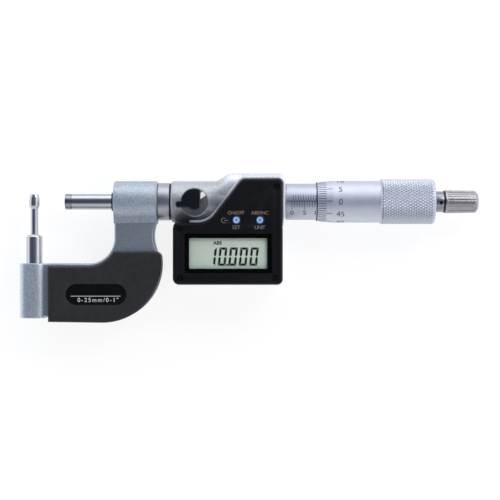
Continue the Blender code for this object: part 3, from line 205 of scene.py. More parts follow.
def skinned(name, rings):
    """A closed skin over rings of points, each end closed by a flat face."""
    bm = bmesh.new()
    loops = [[bm.verts.new(point) for point in ring] for ring in rings]
    for lower, upper in zip(loops, loops[1:]):
        for i in range(len(lower)):
            bm.faces.new((lower[i - 1], lower[i], upper[i], upper[i - 1]))
    bm.faces.new(loops[0])
    bm.faces.new(loops[-1])
    return new_object(name, bm)


def drill(name, steps, axis="X", sides=SIDES, centre=(0.0, 0.0)):
    """A stepped bar to cut a hole with, from (start, end, radius) steps."""
    profile = []
    for start, end, radius in steps:
        profile += [(start, radius), (end, radius)]
    return turned(name, [(profile[0][0], 0), *profile, (profile[-1][0], 0)], axis, sides, centre)


# %% [markdown]
# ### Raised outlines
# Castings and mouldings are mostly flat shapes with rounded rims. A Solidify modifier could thicken
# an outline, but raising its face and bevelling only the rims keeps each rim's width a plain size.

# %% Outlines raised to solids
ARC_STEP = 4.0
SAME_POINT = 1e-4


def arc(centre, radius, start, end):
    """Points on an arc from one angle to another, in degrees."""
    steps = max(3, round(abs(end - start) / ARC_STEP))
    points = []
    for i in range(steps + 1):
        angle = math.radians(start + (end - start) * i / steps)
        points.append((centre[0] + radius * math.cos(angle), centre[1] + radius * math.sin(angle)))
    return points


def rounded_box(left, right, bottom, top, corner):
    return [
        *arc((left + corner, bottom + corner), corner, 180, 270),
        *arc((right - corner, bottom + corner), corner, 270, 360),
        *arc((right - corner, top - corner), corner, 0, 90),
        *arc((left + corner, top - corner), corner, 90, 180),
    ]


def extruded(name, outline, low, high, top_edge=0.0, bottom_edge=0.0, steps=3):
    """An outline raised from one depth to another, with its rims rounded over."""
    bm = bmesh.new()
    clean = []
    for point in outline:
        if not clean or (Vector(point) - Vector(clean[-1])).length > SAME_POINT:
            clean.append(point)
    base = bm.faces.new([bm.verts.new(spot(x, y, low)) for x, y in clean])
    raised = bmesh.ops.extrude_face_region(bm, geom=[base])
    moved = [part for part in raised["geom"] if isinstance(part, bmesh.types.BMVert)]
    bmesh.ops.translate(bm, vec=(0, 0, (high - low) * MM), verts=moved)
    for height, width in ((high, top_edge), (low, bottom_edge)):
        if not width:
            continue
        level = (height + AXIS_HEIGHT) * MM
        rim = [e for e in bm.edges if all(abs(v.co.z - level) < SAME_PLACE for v in e.verts)]
        bmesh.ops.bevel(bm, geom=rim, offset=width * MM, segments=steps, profile=0.5, affect="EDGES")
    return new_object(name, bm)


def block(name, left, right, bottom, top, low, high):
    corners = [(left, bottom), (right, bottom), (right, top), (left, top)]
    return extruded(name, corners, low, high)


# %% [markdown]
# ### Joining and cutting
# A casting is a few plain shapes run into one, with holes cut out. Boolean modifiers do both. They
# could stay live, but the rest of the script works on plain meshes, so they are applied at once.
# The sharp edges that they leave get a small bevel, which catches the light.


# %% Joining and cutting
def settled(obj):
    """Make what an object's modifiers give its own plain mesh."""
    graph = bpy.context.evaluated_depsgraph_get()
    mesh = bpy.data.meshes.new_from_object(obj.evaluated_get(graph))
    obj.modifiers.clear()
    obj.data = mesh
    return obj


def combined(target, tools, operation, solver):
    for tool in tools:
        modifier = target.modifiers.new(operation, "BOOLEAN")
        modifier.operation = operation
        modifier.solver = solver
        modifier.object = tool
    settled(target)
    for tool in tools:
        bpy.data.objects.remove(tool)
    return target


def joined(first, *others, solver="EXACT"):
    return combined(first, others, "UNION", solver)


def cut(first, *others, solver="EXACT"):
    return combined(first, others, "DIFFERENCE", solver)


def edged(obj, width, angle=30.0, segments=2):
    """Break the sharp edges of a finished shape, so they catch the light."""
    bevel = obj.modifiers.new("edge", "BEVEL")
    bevel.width = width * MM
    bevel.segments = segments
    bevel.limit_method = "ANGLE"
    bevel.angle_limit = math.radians(angle)
    bevel.use_clamp_overlap = True
    return settled(obj)


# %% [markdown]
# ## Finishes
# Every finish is a small node tree. `finish` makes a material with its shader's plain values set,
# and the helpers below add the fine detail that the real surface shows: grain, speckle and turning
# lines. Others paint light and shade into the paint: paler edges and darker folds. Pictures could be
# wrapped on instead, but patterns worked out from the place have no seams. They read Object
# coordinates, in metres, so scales are large.


# %% Material helpers
def shader_of(surface):
    return surface.node_tree.nodes["Principled BSDF"]


def finish(name, colour, roughness, metallic=0.0):
    made = bpy.data.materials.new(name)
    made.use_nodes = True
    shader = shader_of(made)
    shader.inputs["Base Color"].default_value = (*colour, 1.0)
    shader.inputs["Roughness"].default_value = roughness
    shader.inputs["Metallic"].default_value = metallic
    return made


def add(surface, kind, **settings):
    node = surface.node_tree.nodes.new(kind)
    for key, value in settings.items():
        setattr(node, key, value)
    return node


def link(surface, output, target):
    surface.node_tree.links.new(output, target)


# %% Pattern helpers
def noise(surface, scale, detail=2.0, stretch=(1.0, 1.0, 1.0)):
    """Noise on Object coordinates. Stretch makes it lines instead of dots."""
    coords = add(surface, "ShaderNodeTexCoord")
    mapping = add(surface, "ShaderNodeMapping")
    mapping.inputs["Scale"].default_value = stretch
    texture = add(surface, "ShaderNodeTexNoise")
    texture.inputs["Scale"].default_value = scale
    texture.inputs["Detail"].default_value = detail
    link(surface, coords.outputs["Object"], mapping.inputs["Vector"])
    link(surface, mapping.outputs["Vector"], texture.inputs["Vector"])
    return texture.outputs["Fac"]


def bump(surface, height, strength, distance):
    node = add(surface, "ShaderNodeBump")
    node.inputs["Strength"].default_value = strength
    node.inputs["Distance"].default_value = distance
    link(surface, height, node.inputs["Height"])
    link(surface, node.outputs["Normal"], shader_of(surface).inputs["Normal"])


def ramp(surface, value, stops):
    """A value turned into colours, from (value, colour) stops."""
    node = add(surface, "ShaderNodeValToRGB")
    elements = node.color_ramp.elements
    while len(elements) < len(stops):
        elements.new(0.5)
    for element, (place, colour) in zip(elements, stops):
        element.position = place
        element.color = (*colour, 1.0)
    link(surface, value, node.inputs["Fac"])
    return node.outputs["Color"]


def spread(surface, value, low, high, new_low, new_high):
    """A value moved from one range to another, and held at its ends."""
    node = add(surface, "ShaderNodeMapRange")
    settings = (("From Min", low), ("From Max", high), ("To Min", new_low), ("To Max", new_high))
    for key, number in settings:
        node.inputs[key].default_value = number
    link(surface, value, node.inputs["Value"])
    return node.outputs["Result"]


def math_node(tree, operation, first, second=None):
    """One sum in a node tree. Each side is a number or another node's output."""
    node = tree.nodes.new("ShaderNodeMath")
    node.operation = operation
    for socket, value in zip(node.inputs, (first, second)):
        if value is None:
            continue
        if isinstance(value, (int, float)):
            socket.default_value = value
        else:
            tree.links.new(value, socket)
    return node.outputs[0]


# %% [markdown]
# ### Speckled paint
# The frame wears a baked hammer finish: blue-grey, with tiny light and dark specks and a very fine
# orange-peel skin. The casting of the head has the same paint in a lighter grey. The level faces of
# the frame get a darker copy of the frame's paint, which is painted shade for these recessed faces.
# Specks could be scattered as small pieces, but noise through a colour ramp gives them at no cost in
# faces.

# %% Speckled paint
SPECK_SCALE = 2600.0
PEEL_SCALE = 1800.0
PEEL_HEIGHT = 0.00005
PATCH_SCALE = 900.0
PAINT_ROUGHNESS = 0.44
PAINT_METAL = 0.6


def speckled_paint(name, colour, light, dark):
    surface = finish(name, colour, PAINT_ROUGHNESS, PAINT_METAL)
    specks = noise(surface, SPECK_SCALE, 3.0)
    tint = ramp(surface, specks, [(0.34, dark), (0.5, colour), (0.66, light)])
    link(surface, tint, shader_of(surface).inputs["Base Color"])
    rough = spread(surface, noise(surface, PATCH_SCALE), 0.3, 0.7, 0.4, 0.5)
    link(surface, rough, shader_of(surface).inputs["Roughness"])
    bump(surface, noise(surface, PEEL_SCALE, 3.0), 0.3, PEEL_HEIGHT)
    return surface


FRAME_PAINT = speckled_paint("frame_paint", (0.45, 0.52, 0.60), (0.60, 0.67, 0.74), (0.32, 0.37, 0.43))
# A darker copy of the frame's paint for its level faces: painted shade.
SHADED_FLAT_PAINT = speckled_paint("shaded_flat_paint", (0.28, 0.33, 0.38), (0.38, 0.43, 0.48), (0.19, 0.22, 0.26))
HEAD_PAINT = speckled_paint("head_paint", (0.50, 0.53, 0.57), (0.66, 0.69, 0.73), (0.40, 0.43, 0.47))

# %% [markdown]
# ### Painted light and shade in the paint
# The paint's colour is made paler along the edges of the anvil block and on the top and the right
# end of the head: painted highlights. It is made darker in the folds round the lock, beside the
# slope's rim and under the lock's lever: painted shade and shadow. A patch on the head's slope is
# made paler: painted light. The tones could be painted on the mesh, but a factor that fades between
# two places needs no extra points. Ambient occlusion finds the folds by itself.

# %% Tone helpers
FOLD_SHADE = 0.6


def object_place(surface):
    return add(surface, "ShaderNodeTexCoord").outputs["Object"]


def in_folds(surface, reach, tone):
    """Painted shade where the same piece stands close in front of the surface."""
    fold = add(surface, "ShaderNodeAmbientOcclusion", samples=8, only_local=True)
    fold.inputs["Distance"].default_value = reach * MM
    return spread(surface, fold.outputs["AO"], FOLD_SHADE, 1.0, tone, 1.0)


def past_place(surface, axis, start, end, tone):
    """Painted light or shade beyond a place on one axis."""
    split = add(surface, "ShaderNodeSeparateXYZ")
    link(surface, object_place(surface), split.inputs[0])
    return spread(surface, split.outputs[axis], start * MM, end * MM, 1.0, tone)


def round_place(surface, place, inner, outer, tone):
    """Painted light or shade round one place."""
    gap = add(surface, "ShaderNodeVectorMath", operation="DISTANCE")
    gap.inputs[1].default_value = spot(*place)
    link(surface, object_place(surface), gap.inputs[0])
    return spread(surface, gap.outputs["Value"], inner * MM, outer * MM, tone, 1.0)


def toned(surface, factors):
    """Multiply a paint's colour by factors of painted light and shade that change over the surface."""
    shader = shader_of(surface)
    colour = shader.inputs["Base Color"].links[0].from_socket
    for factor in factors:
        node = add(surface, "ShaderNodeVectorMath", operation="SCALE")
        link(surface, colour, node.inputs[0])
        link(surface, factor, node.inputs["Scale"])
        colour = node.outputs["Vector"]
    link(surface, colour, shader.inputs["Base Color"])


# %% Painted light and shade
FOLD_REACH = 4.0
FOLD_SHADE_TONE = 0.85
# Painted highlights: axis, where a tone starts, where it is full, and the tone. The block's last one
# ends the one before.
BLOCK_EDGE_HIGHLIGHTS = (("X", -80.9, -82.2, 1.75), ("X", -74.9, -73.7, 1.35), ("X", -72.3, -71.9, 1 / 1.35))
HEAD_EDGE_HIGHLIGHTS = (("Y", 7.0, 10.5, 1.5), ("X", 21.0, 22.6, 1.5))
# Painted shadow under the lock's lever, painted shade beside the slope's rim and painted light on
# the slope: place, the radii that a tone fades out between, and the tone.
HEAD_SHADE_AND_LIGHT_SPOTS = (
    ((-18.8, -5.8, 6.0), 3.0, 6.5, 0.6),
    ((-5.0, 0.0, 8.2), 1.5, 6.0, 0.56),
    ((2.0, 7.0, 7.0), 2.0, 6.0, 1.25),
)
# Painted highlights on the frame, and painted light and shade on the head, scale the paints' colours.
frame_painted_highlights = [past_place(FRAME_PAINT, *edge) for edge in BLOCK_EDGE_HIGHLIGHTS]
head_painted_light_and_shade = [in_folds(HEAD_PAINT, FOLD_REACH, FOLD_SHADE_TONE)]
head_painted_light_and_shade += [past_place(HEAD_PAINT, *edge) for edge in HEAD_EDGE_HIGHLIGHTS]
head_painted_light_and_shade += [round_place(HEAD_PAINT, *place) for place in HEAD_SHADE_AND_LIGHT_SPOTS]
toned(FRAME_PAINT, frame_painted_highlights)
toned(HEAD_PAINT, head_painted_light_and_shade)
print("tones on the frame and the head:", len(frame_painted_highlights), len(head_painted_light_and_shade))

# %% [markdown]
# ### Bare metal
# Satin chrome and ground steel were finished while they turned, so they carry very fine lines
# round the axis. An anisotropic shader could stretch the highlights, but noise squeezed along the
# spindle shows the lines themselves, in roughness and in height.

# %% Turned metal
LINE_SCALE = 9000.0
LINE_HEIGHT = 0.000004
CLOUD_SCALE = 260.0
METAL_TONE = 0.03
ROUND_SPINDLE = (1.0, 0.04, 0.04)
ROUND_PIN = (0.04, 1.0, 0.04)


def shades(colour, amount):
    """Ramp stops for a colour that wanders a little darker and a little lighter."""
    darker = tuple((1 - amount) * part for part in colour)
    lighter = tuple(min(1.0, (1 + amount) * part) for part in colour)
    return [(0.3, darker), (0.7, lighter)]


def turned_metal(name, colour, roughness, lines_round=ROUND_SPINDLE):
    surface = finish(name, colour, roughness, 1.0)
    lines = noise(surface, LINE_SCALE, 3.0, lines_round)
    rough = spread(surface, lines, 0.25, 0.75, roughness * 0.92, roughness * 1.08)
    link(surface, rough, shader_of(surface).inputs["Roughness"])
    tint = ramp(surface, noise(surface, CLOUD_SCALE), shades(colour, METAL_TONE))
    link(surface, tint, shader_of(surface).inputs["Base Color"])
    bump(surface, lines, 0.08, LINE_HEIGHT)
    return surface


SATIN_CHROME = turned_metal("satin_chrome", (0.54, 0.57, 0.67), 0.45)
# The stem's chrome is the satin chrome made darker: painted shade between the hub and the head.
SHADED_STEM_CHROME = turned_metal("shaded_stem_chrome", (0.42, 0.43, 0.48), 0.36)
THIMBLE_CHROME = turned_metal("thimble_chrome", (0.63, 0.66, 0.76), 0.52)
KNURL_CHROME = turned_metal("knurl_chrome", (0.57, 0.60, 0.69), 0.5)
GROUND_STEEL = turned_metal("ground_steel", (0.50, 0.51, 0.54), 0.10)
PIN_STEEL = turned_metal("pin_steel", (0.58, 0.59, 0.62), 0.14, ROUND_PIN)
CARBIDE = turned_metal("carbide", (0.33, 0.34, 0.37), 0.16)
KNOB_CHROME = turned_metal("knob_chrome", (0.42, 0.40, 0.43), 0.34)
# The collar's chrome is made darker: painted shade from the knob beside it.
SHADED_COLLAR_CHROME = turned_metal("shaded_collar_chrome", (0.30, 0.31, 0.35), 0.3)
BLACK_STEEL = turned_metal("black_steel", (0.035, 0.036, 0.040), 0.34)
BRASS = turned_metal("turned_brass", (0.70, 0.50, 0.22), 0.28)
CELL_STEEL = turned_metal("cell_steel", (0.64, 0.64, 0.62), 0.22)

# %% [markdown]
# ### Mouldings, rubber and print
# The panel, the covers and the lock are black plastic: the covers are dull and finely grained, the
# panel a little glossier and the lock polished. Marks are a dark print, and labels a grey one. Each
# could have its own tree, but they differ only in colour, gloss and grain, so one function does.

# %% Mouldings
SKIN_SCALE = 5200.0
STAIN_SCALE = 420.0
COOL_GLOSS = (0.92, 0.95, 1.0, 1.0)


def moulding(name, colour, roughness, grain=0.00002, gloss=0.5, tone=0.14):
    surface = finish(name, colour, roughness)
    shader_of(surface).inputs["Specular IOR Level"].default_value = gloss
    shader_of(surface).inputs["Specular Tint"].default_value = COOL_GLOSS
    skin = noise(surface, SKIN_SCALE)
    rough = spread(surface, skin, 0.3, 0.7, roughness * 0.88, roughness * 1.12)
    link(surface, rough, shader_of(surface).inputs["Roughness"])
    tint = ramp(surface, noise(surface, STAIN_SCALE), shades(colour, tone))
    link(surface, tint, shader_of(surface).inputs["Base Color"])
    bump(surface, skin, 0.3, grain)
    return surface


COVER_PLASTIC = moulding("cover_plastic", (0.025, 0.025, 0.027), 0.5, gloss=0.35)
LABEL_GLOSS = moulding("label_gloss", (0.004, 0.004, 0.005), 0.30, 0.000004, gloss=0.2)
PANEL_PLASTIC = moulding("panel_plastic", (0.005, 0.005, 0.006), 0.44, gloss=0.2)
WINDOW_FRAME = moulding("window_frame", (0.002, 0.002, 0.002), 0.40, 0.000005, gloss=0.08)
LOCK_PLASTIC = moulding("lock_plastic", (0.002, 0.002, 0.003), 0.07, 0.000001, gloss=0.9)
BLACK_RUBBER = moulding("black_rubber", (0.012, 0.012, 0.013), 0.66)
KEY_RING = moulding("key_ring", (0.006, 0.014, 0.055), 0.34)
ENGRAVED = moulding("engraved_ink", (0.030, 0.034, 0.050), 0.60, 0.000003)
PRINT_GREY = moulding("grey_print", (0.22, 0.21, 0.22), 0.55, 0.000003)
PRINT_WHITE = moulding("white_print", (0.78, 0.79, 0.80), 0.50, 0.000003)
PRINT_ORANGE = moulding("orange_print", (0.30, 0.18, 0.14), 0.55, 0.000003)
SEGMENT_INK = moulding("segment_ink", (0.006, 0.014, 0.010), 0.35, 0.000003)
LCD_GLASS = moulding("lcd_glass", (0.84, 0.98, 0.81), 0.35, 0.000002, tone=0.02)
KEY_BLUE = moulding("key_blue", (0.34, 0.55, 0.86), 0.3, 0.000006)
KEY_DIMPLE = moulding("key_dimple", (0.10, 0.20, 0.42), 0.42, 0.000006)
BOARD_GREEN = moulding("board_green", (0.02, 0.14, 0.07), 0.45)

# %% [markdown]
# ### The clear window
# The window is a thin clear sheet. Glass with real refraction could dim the display under it, so
# the sheet is nearly transparent instead and keeps only its faint reflection, with soft smudges.

# %% Clear window
LENS = finish("clear_lens", (0.0, 0.0, 0.0), 0.03)
shader_of(LENS).inputs["Alpha"].default_value = 0.05
shader_of(LENS).inputs["IOR"].default_value = 1.45
smudges = spread(LENS, noise(LENS, 180.0, 4.0), 0.35, 0.7, 0.02, 0.06)
link(LENS, smudges, shader_of(LENS).inputs["Roughness"])
print("finishes:", len(bpy.data.materials))

# %% [markdown]
# ## Hanging a piece on the model
# Each finished piece rides the body that carries it and stands for the plain solids it replaces.
# These lines could follow each piece, but one helper makes sure that none is forgotten. It also
# smooths the faces up to a crease angle.


# %% Dressing helper
def dress(obj, body, slot, surface, *stands_for, crease=32.0):
    obj.data.materials.clear()
    obj.data.materials.append(surface)
    obj.data.shade_smooth()
    obj.data.set_sharp_from_angle(angle=math.radians(crease))
    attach(obj, body)
    if stands_for:
        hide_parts(*stands_for)
    print(f"{obj.name}: {len(obj.data.polygons)} faces on {body}")
    return obj


# %% [markdown]
# ## The frame
# The frame is a flat C cast in one piece: an upright block for the anvil pin at the left, a web
# under the throat, and a neck that rises to the hub the spindle runs through. It could be sculpted
# from one box, but each part follows a simple rule of its own. The web is an outline with rounded
# rims, the block is a skin over rings and the hub is turned, and then they are joined.

# %% Frame sizes
PIN_X = -77.4
ARM_TOP = -24.6
ARM_BOTTOM = -45.9
WEB_HALF = 4.5
WEB_EDGE = 0.7
THROAT_RADIUS = 10.2
NECK_LEFT = -45.0
WAIST_X = -29.4
WAIST_Y = -13.7
WAIST_RADIUS = 15.0
WAIST_RISE = 4.6
WAIST_GAP = 0.6
HUB_LEFT = -45.4
HUB_RIGHT = -28.0
HUB_RADIUS = 8.25
HUB_LIP = 1.6
HUB_EDGE = 0.9
HUB_BORE = 5.8
BEND_X = -49.6
BEND_Y = -24.9
BEND_RADIUS = 21.3
BEND_RISE = 4.0
BOSS_LEFT = -82.9
BOSS_RIGHT = -72.4
BOSS_DEPTH = 5.8
BOSS_ROUND = 3.8
BOSS_BOTTOM = -46.4
BOSS_END_ROUND = 0.6
FOOT_SECTION = ((-4.0, 6.15), (-8.45, 4.87), (-8.7, 4.6), (-8.7, -4.6), (-8.45, -4.87), (-4.0, -6.15))
FOOT_INSET = 0.15
PIN_POST_RADIUS = 3.25
SOCKET_BOTTOM = -39.0
WIPER_RADIUS = 3.65
STEM_RADIUS = 7.5
THROAT = (NECK_LEFT - THROAT_RADIUS, ARM_TOP + THROAT_RADIUS)
CUT_PAST = 2.0
FIT = 0.1
CAST_EDGE = 0.12


# %% Web and anvil block
def web_outline():
    waist = (WAIST_X + WAIST_RADIUS, WAIST_Y)
    waist_high = math.degrees(math.asin((-STEM_RADIUS - WAIST_GAP - WAIST_Y) / WAIST_RADIUS))
    waist_low = math.degrees(math.asin((WAIST_Y - BEND_Y - WAIST_RISE) / WAIST_RADIUS))
    bend_start = math.degrees(math.asin(BEND_RISE / BEND_RADIUS))
    return [
        (PIN_X, ARM_BOTTOM),
        *reversed(arc((BEND_X, BEND_Y), BEND_RADIUS, bend_start, -90)),
        *reversed(arc(waist, WAIST_RADIUS, 180 - waist_high, 180 + waist_low)),
        (HUB_RIGHT - HUB_LIP, -HUB_RADIUS / 2),
        (NECK_LEFT, -HUB_RADIUS / 2),
        *arc(THROAT, THROAT_RADIUS, 0, -90),
        (PIN_X, ARM_TOP),
    ]


def anvil_boss():
    """Upright block with rounded edges that holds the pin. Its ends are drawn in by a small round."""
    ends = []
    for angle in range(0, 91, 30):
        turn = math.radians(angle)
        ends.append((BOSS_BOTTOM, 1 - math.sin(turn), 1 - math.cos(turn)))
    for angle in range(90, -1, -30):
        turn = math.radians(angle)
        ends.append((ARM_TOP, 1 - math.sin(turn), math.cos(turn) - 1))
    rings = []
    for end, inset, shift in ends:
        inset = BOSS_END_ROUND * inset
        depth = BOSS_DEPTH - inset
        section = rounded_box(BOSS_LEFT + inset, BOSS_RIGHT - inset, -depth, depth, BOSS_ROUND - inset)
        rings.append([spot(x, end + BOSS_END_ROUND * shift, z) for x, z in section])
    return skinned("anvil_boss", rings)


# %% Frame
LEVEL = 0.01
web = extruded("frame_casting", web_outline(), -WEB_HALF, WEB_HALF, WEB_EDGE, WEB_EDGE)
boss = anvil_boss()
hub_profile = rod_profile([(HUB_LEFT, HUB_RADIUS), (HUB_RIGHT, HUB_RADIUS)], HUB_EDGE)
hub = turned("hub", hub_profile, "X", LARGE_SIDES)
foot_ends = (HUB_LEFT + FOOT_INSET, HUB_RIGHT - FOOT_INSET)
foot = skinned("hub_foot", [[spot(x, y, depth) for y, depth in FOOT_SECTION] for x in foot_ends])
bore = drill("bore", [
    (HUB_LEFT - CUT_PAST, HUB_LEFT + HUB_LIP, WIPER_RADIUS + FIT),
    (HUB_LEFT + HUB_LIP, HUB_RIGHT + CUT_PAST, HUB_BORE),
])
post_room = [(SOCKET_BOTTOM, ARM_TOP + CUT_PAST, PIN_POST_RADIUS + FIT)]
socket = drill("socket", post_room, "Y", SIDES, (PIN_X, 0.0))
casting = edged(cut(joined(web, boss, hub, foot), bore, socket), CAST_EDGE)
dress(casting, "frame_body", "frame_paint", FRAME_PAINT, "frame")
# The level faces take the darker copy of the paint: painted shade.
casting.data.materials.append(SHADED_FLAT_PAINT)
for face in casting.data.polygons:
    if abs(abs(face.center.z / MM - AXIS_HEIGHT) - WEB_HALF) < LEVEL:
        face.material_index = 1

# %% [markdown]
# ## The grip covers
# Two black plastic shells clip over the arm so that the warmth of a hand doesn't lengthen it. The
# front one has a long oval hollow for a label, with a fine rule and the measuring range in it. A
# shell could be a thickened surface, but a raised outline with the arm cut out of it fits the arm.

# %% Grip outlines
COVER_FACE = 6.6
COVER_LEFT = -71.2
COVER_TOP = -19.9
COVER_WRAP = 1.92
COVER_INSET = 1.1
COVER_CORNER = 2.4
LABEL_X = -52.1
LABEL_Y = -36.9
LABEL_LENGTH = 24.0
LABEL_HEIGHT = 8.3
LABEL_DEPTH = 0.4


def cover_outline():
    reach = BEND_RADIUS + COVER_WRAP
    inner = THROAT_RADIUS + COVER_INSET
    corner_y = COVER_TOP - COVER_CORNER
    corner_x = BEND_X + math.sqrt((reach - COVER_CORNER) ** 2 - (corner_y - BEND_Y) ** 2)
    meet = math.degrees(math.atan2(corner_y - BEND_Y, corner_x - BEND_X))
    throat_end = math.degrees(math.asin((COVER_TOP - THROAT[1]) / inner))
    return [
        (COVER_LEFT, ARM_BOTTOM - COVER_WRAP),
        *arc((BEND_X, BEND_Y), reach, -90, meet),
        *arc((corner_x, corner_y), COVER_CORNER, meet, 90)[1:],
        *arc(THROAT, inner, throat_end, -90),
        (COVER_LEFT, ARM_TOP - COVER_INSET),
    ]


def label_outline(inset=0.0):
    radius = LABEL_HEIGHT / 2
    reach = LABEL_LENGTH / 2 - radius
    left = arc((LABEL_X - reach, LABEL_Y), radius - inset, 90, 270)
    right = arc((LABEL_X + reach, LABEL_Y), radius - inset, -90, 90)
    return left + right


# %% Grip covers
LABEL_FLOOR = COVER_FACE - LABEL_DEPTH
COVER_SPLIT = 0.05
COVER_RIM = 1.0
COVER_EDGE = 0.1
ARM_FIT = 0.15
ARM_PAST = 1.0
PLATE_GAP = 0.06
PLATE_TOP = LABEL_FLOOR + 0.12
PLATE_EDGE = 0.05
front = extruded("front_cover", cover_outline(), COVER_SPLIT, COVER_FACE, COVER_RIM, steps=5)
hollow = extruded("hollow", label_outline(), LABEL_FLOOR, COVER_FACE + CUT_PAST)
arm = extruded("arm_room", web_outline(), -ARM_PAST, WEB_HALF + ARM_FIT)
front = edged(cut(front, arm, hollow), COVER_EDGE)
dress(front, "frame_body", "grip_plastic", COVER_PLASTIC, "front_grip_cover")
rear = extruded("rear_cover", cover_outline(), -COVER_FACE, -COVER_SPLIT, 0.0, COVER_RIM, steps=5)
arm = extruded("arm_room", web_outline(), -WEB_HALF - ARM_FIT, ARM_PAST)
rear = edged(cut(rear, arm), COVER_EDGE)
dress(rear, "frame_body", "grip_plastic", COVER_PLASTIC, "rear_grip_cover")
plate = extruded("label_plate", label_outline(PLATE_GAP), LABEL_FLOOR, PLATE_TOP, PLATE_EDGE)
dress(plate, "frame_body", "grip_plastic", LABEL_GLOSS)

# %% [markdown]
# ## The anvil pin
# A tube's wall is curved, so this micrometer measures against an upright pin with a crowned head.
# The pin is ground in one piece with its thicker post, which is pressed into the boss. It could be
# a stack of cylinders, but one half outline, turned, leaves no seams.

# %% Anvil pin
PIN_EDGE = 0.25
# Station and radius, from the crowned head down to the foot of the post.
PIN_PROFILE = [
    (3.1, 1.66), (1.7, 1.98), (0.0, 2.12), (-1.7, 2.12), (-2.9, 1.5), (-13.2, 1.5),
    (-13.2, 2.45), (-14.0, PIN_POST_RADIUS), (-38.6, PIN_POST_RADIUS),
]
pin = turned("anvil_pin_ground", rod_profile(PIN_PROFILE, PIN_EDGE), "Y", SIDES, (PIN_X, 0.0))
dress(pin, "frame_body", "ground_steel", PIN_STEEL, "anvil_pin")

# %% [markdown]
# ## The spindle
# The spindle is a ground bar with a hard-metal face. Behind the head it grows thicker for the screw
# and ends in a taper that holds the thimble. The face could be a second finish on the same bar, but
# on the real tool it is a disc of its own, so it is one here.

# %% Spindle
SPINDLE_RADIUS = 3.175
FACE_X = -64.98
TIP_LENGTH = 2.5
TIP_EDGE = 0.2
BAR_EDGE = 0.12
KEYWAY_LEFT = -5.8
KEYWAY_RIGHT = 22.2
KEYWAY_HALF = 0.8
KEYWAY_DEPTH = 1.0
TIP_PROFILE = [(FACE_X, SPINDLE_RADIUS), (FACE_X + TIP_LENGTH, SPINDLE_RADIUS)]
# The plain bar, the screw, the groove behind it and the taper for the thimble.
BAR_PROFILE = [
    (FACE_X + TIP_LENGTH + FIT, SPINDLE_RADIUS), (32.6, SPINDLE_RADIUS), (32.6, 3.8), (72.0, 3.8),
    (72.0, 3.4), (75.0, 3.4), (75.0, 3.9), (81.8, 3.05),
]
tip = turned("spindle_face", rod_profile(TIP_PROFILE, TIP_EDGE))
dress(tip, "spindle_body", "carbide", CARBIDE, "spindle_tip")
bar = turned("spindle_bar", rod_profile(BAR_PROFILE, BAR_EDGE))
keyway = block("keyway", KEYWAY_LEFT, KEYWAY_RIGHT, -KEYWAY_HALF, KEYWAY_HALF,
               SPINDLE_RADIUS - KEYWAY_DEPTH, SPINDLE_RADIUS + CUT_PAST)
dress(cut(bar, keyway), "spindle_body", "ground_steel", GROUND_STEEL, "spindle")

# %% [markdown]
# ## Wiper, stem and seal
# A rubber wiper in the hub's mouth keeps dirt out. A satin collar, the stem, joins the frame to the
# display head, with a dark seal between. All three are rings that could be cut from bars, but a half
# outline that closes on itself gives the ring and its bore in one step.

# %% Wiper, stem and seal
WIPER_LEFT = -46.4
WIPER_RIGHT = -44.2
WIPER_EDGE = 0.25
STEM_BORE = 3.375
STEM_NECK = 5.6
STEM_PROFILE = [
    (-43.5, STEM_BORE), (-43.5, STEM_NECK), (-27.8, STEM_NECK), (-27.8, STEM_RADIUS),
    (-23.2, STEM_RADIUS), (-23.2, STEM_NECK), (-17.9, STEM_NECK), (-17.9, STEM_BORE),
]
STEM_EDGE = 0.2
SEAL_LEFT = -23.1
SEAL_RIGHT = -22.7
SEAL_BORE = 5.8
SEAL_RADIUS = 7.3
SEAL_EDGE = 0.1
lip = tube_profile(WIPER_LEFT, WIPER_RIGHT, SPINDLE_RADIUS + FIT, WIPER_RADIUS, WIPER_EDGE)
wiper = turned("spindle_wiper_ring", lip)
dress(wiper, "frame_body", "black_rubber", BLACK_RUBBER, "spindle_wiper")
# The stem wears the darker chrome: painted shade between the hub and the head.
stem = turned("stem_collar", softened(STEM_PROFILE, STEM_EDGE))
dress(stem, "frame_body", "satin_chrome", SHADED_STEM_CHROME, "mounting_stem")
band = tube_profile(SEAL_LEFT, SEAL_RIGHT, SEAL_BORE, SEAL_RADIUS, SEAL_EDGE)
seal = turned("stem_seal_ring", band)
dress(seal, "frame_body", "black_rubber", BLACK_RUBBER, "stem_seal")

# %% [markdown]
# ## The display head
# The head is a casting: a barrel round the spindle, a raised block that follows the panel's edge
# and sweeps up in an S to a square shoulder, and a flat tray behind the display. The edge of the
# panel bays round the lock. The raised rim could be drawn for itself, but it is the same line moved
# out by the rim's width, so one function gives both.

# %% Panel line
PANEL_LEFT = -21.6
PANEL_RIGHT = 21.7
PANEL_TOP = 8.8
PANEL_STEP = -8.5
PANEL_BOTTOM = -33.0
PANEL_FACE = 10.5
CORNER_LOWER_LEFT = 2.6
CORNER_LOWER_RIGHT = 2.2
CORNER_UPPER_RIGHT = 1.8
CORNER_SLOPE = 3.5
CORNER_STEP = 1.6
SLOPE_X = 4.68
SLOPE_Y = 7.59
SLOPE_ANGLE = 52.5
BAY_RADIUS = 8.6
SLOPE_NORMAL = (math.cos(math.radians(SLOPE_ANGLE + 90)), math.sin(math.radians(SLOPE_ANGLE + 90)))
SLOPE_REACH = SLOPE_NORMAL[0] * SLOPE_X + SLOPE_NORMAL[1] * SLOPE_Y


def tangent_centre(y, offset):
    """Centre of a round that touches both the sloping edge and a level one."""
    return ((SLOPE_REACH + offset - SLOPE_NORMAL[1] * y) / SLOPE_NORMAL[0], y)


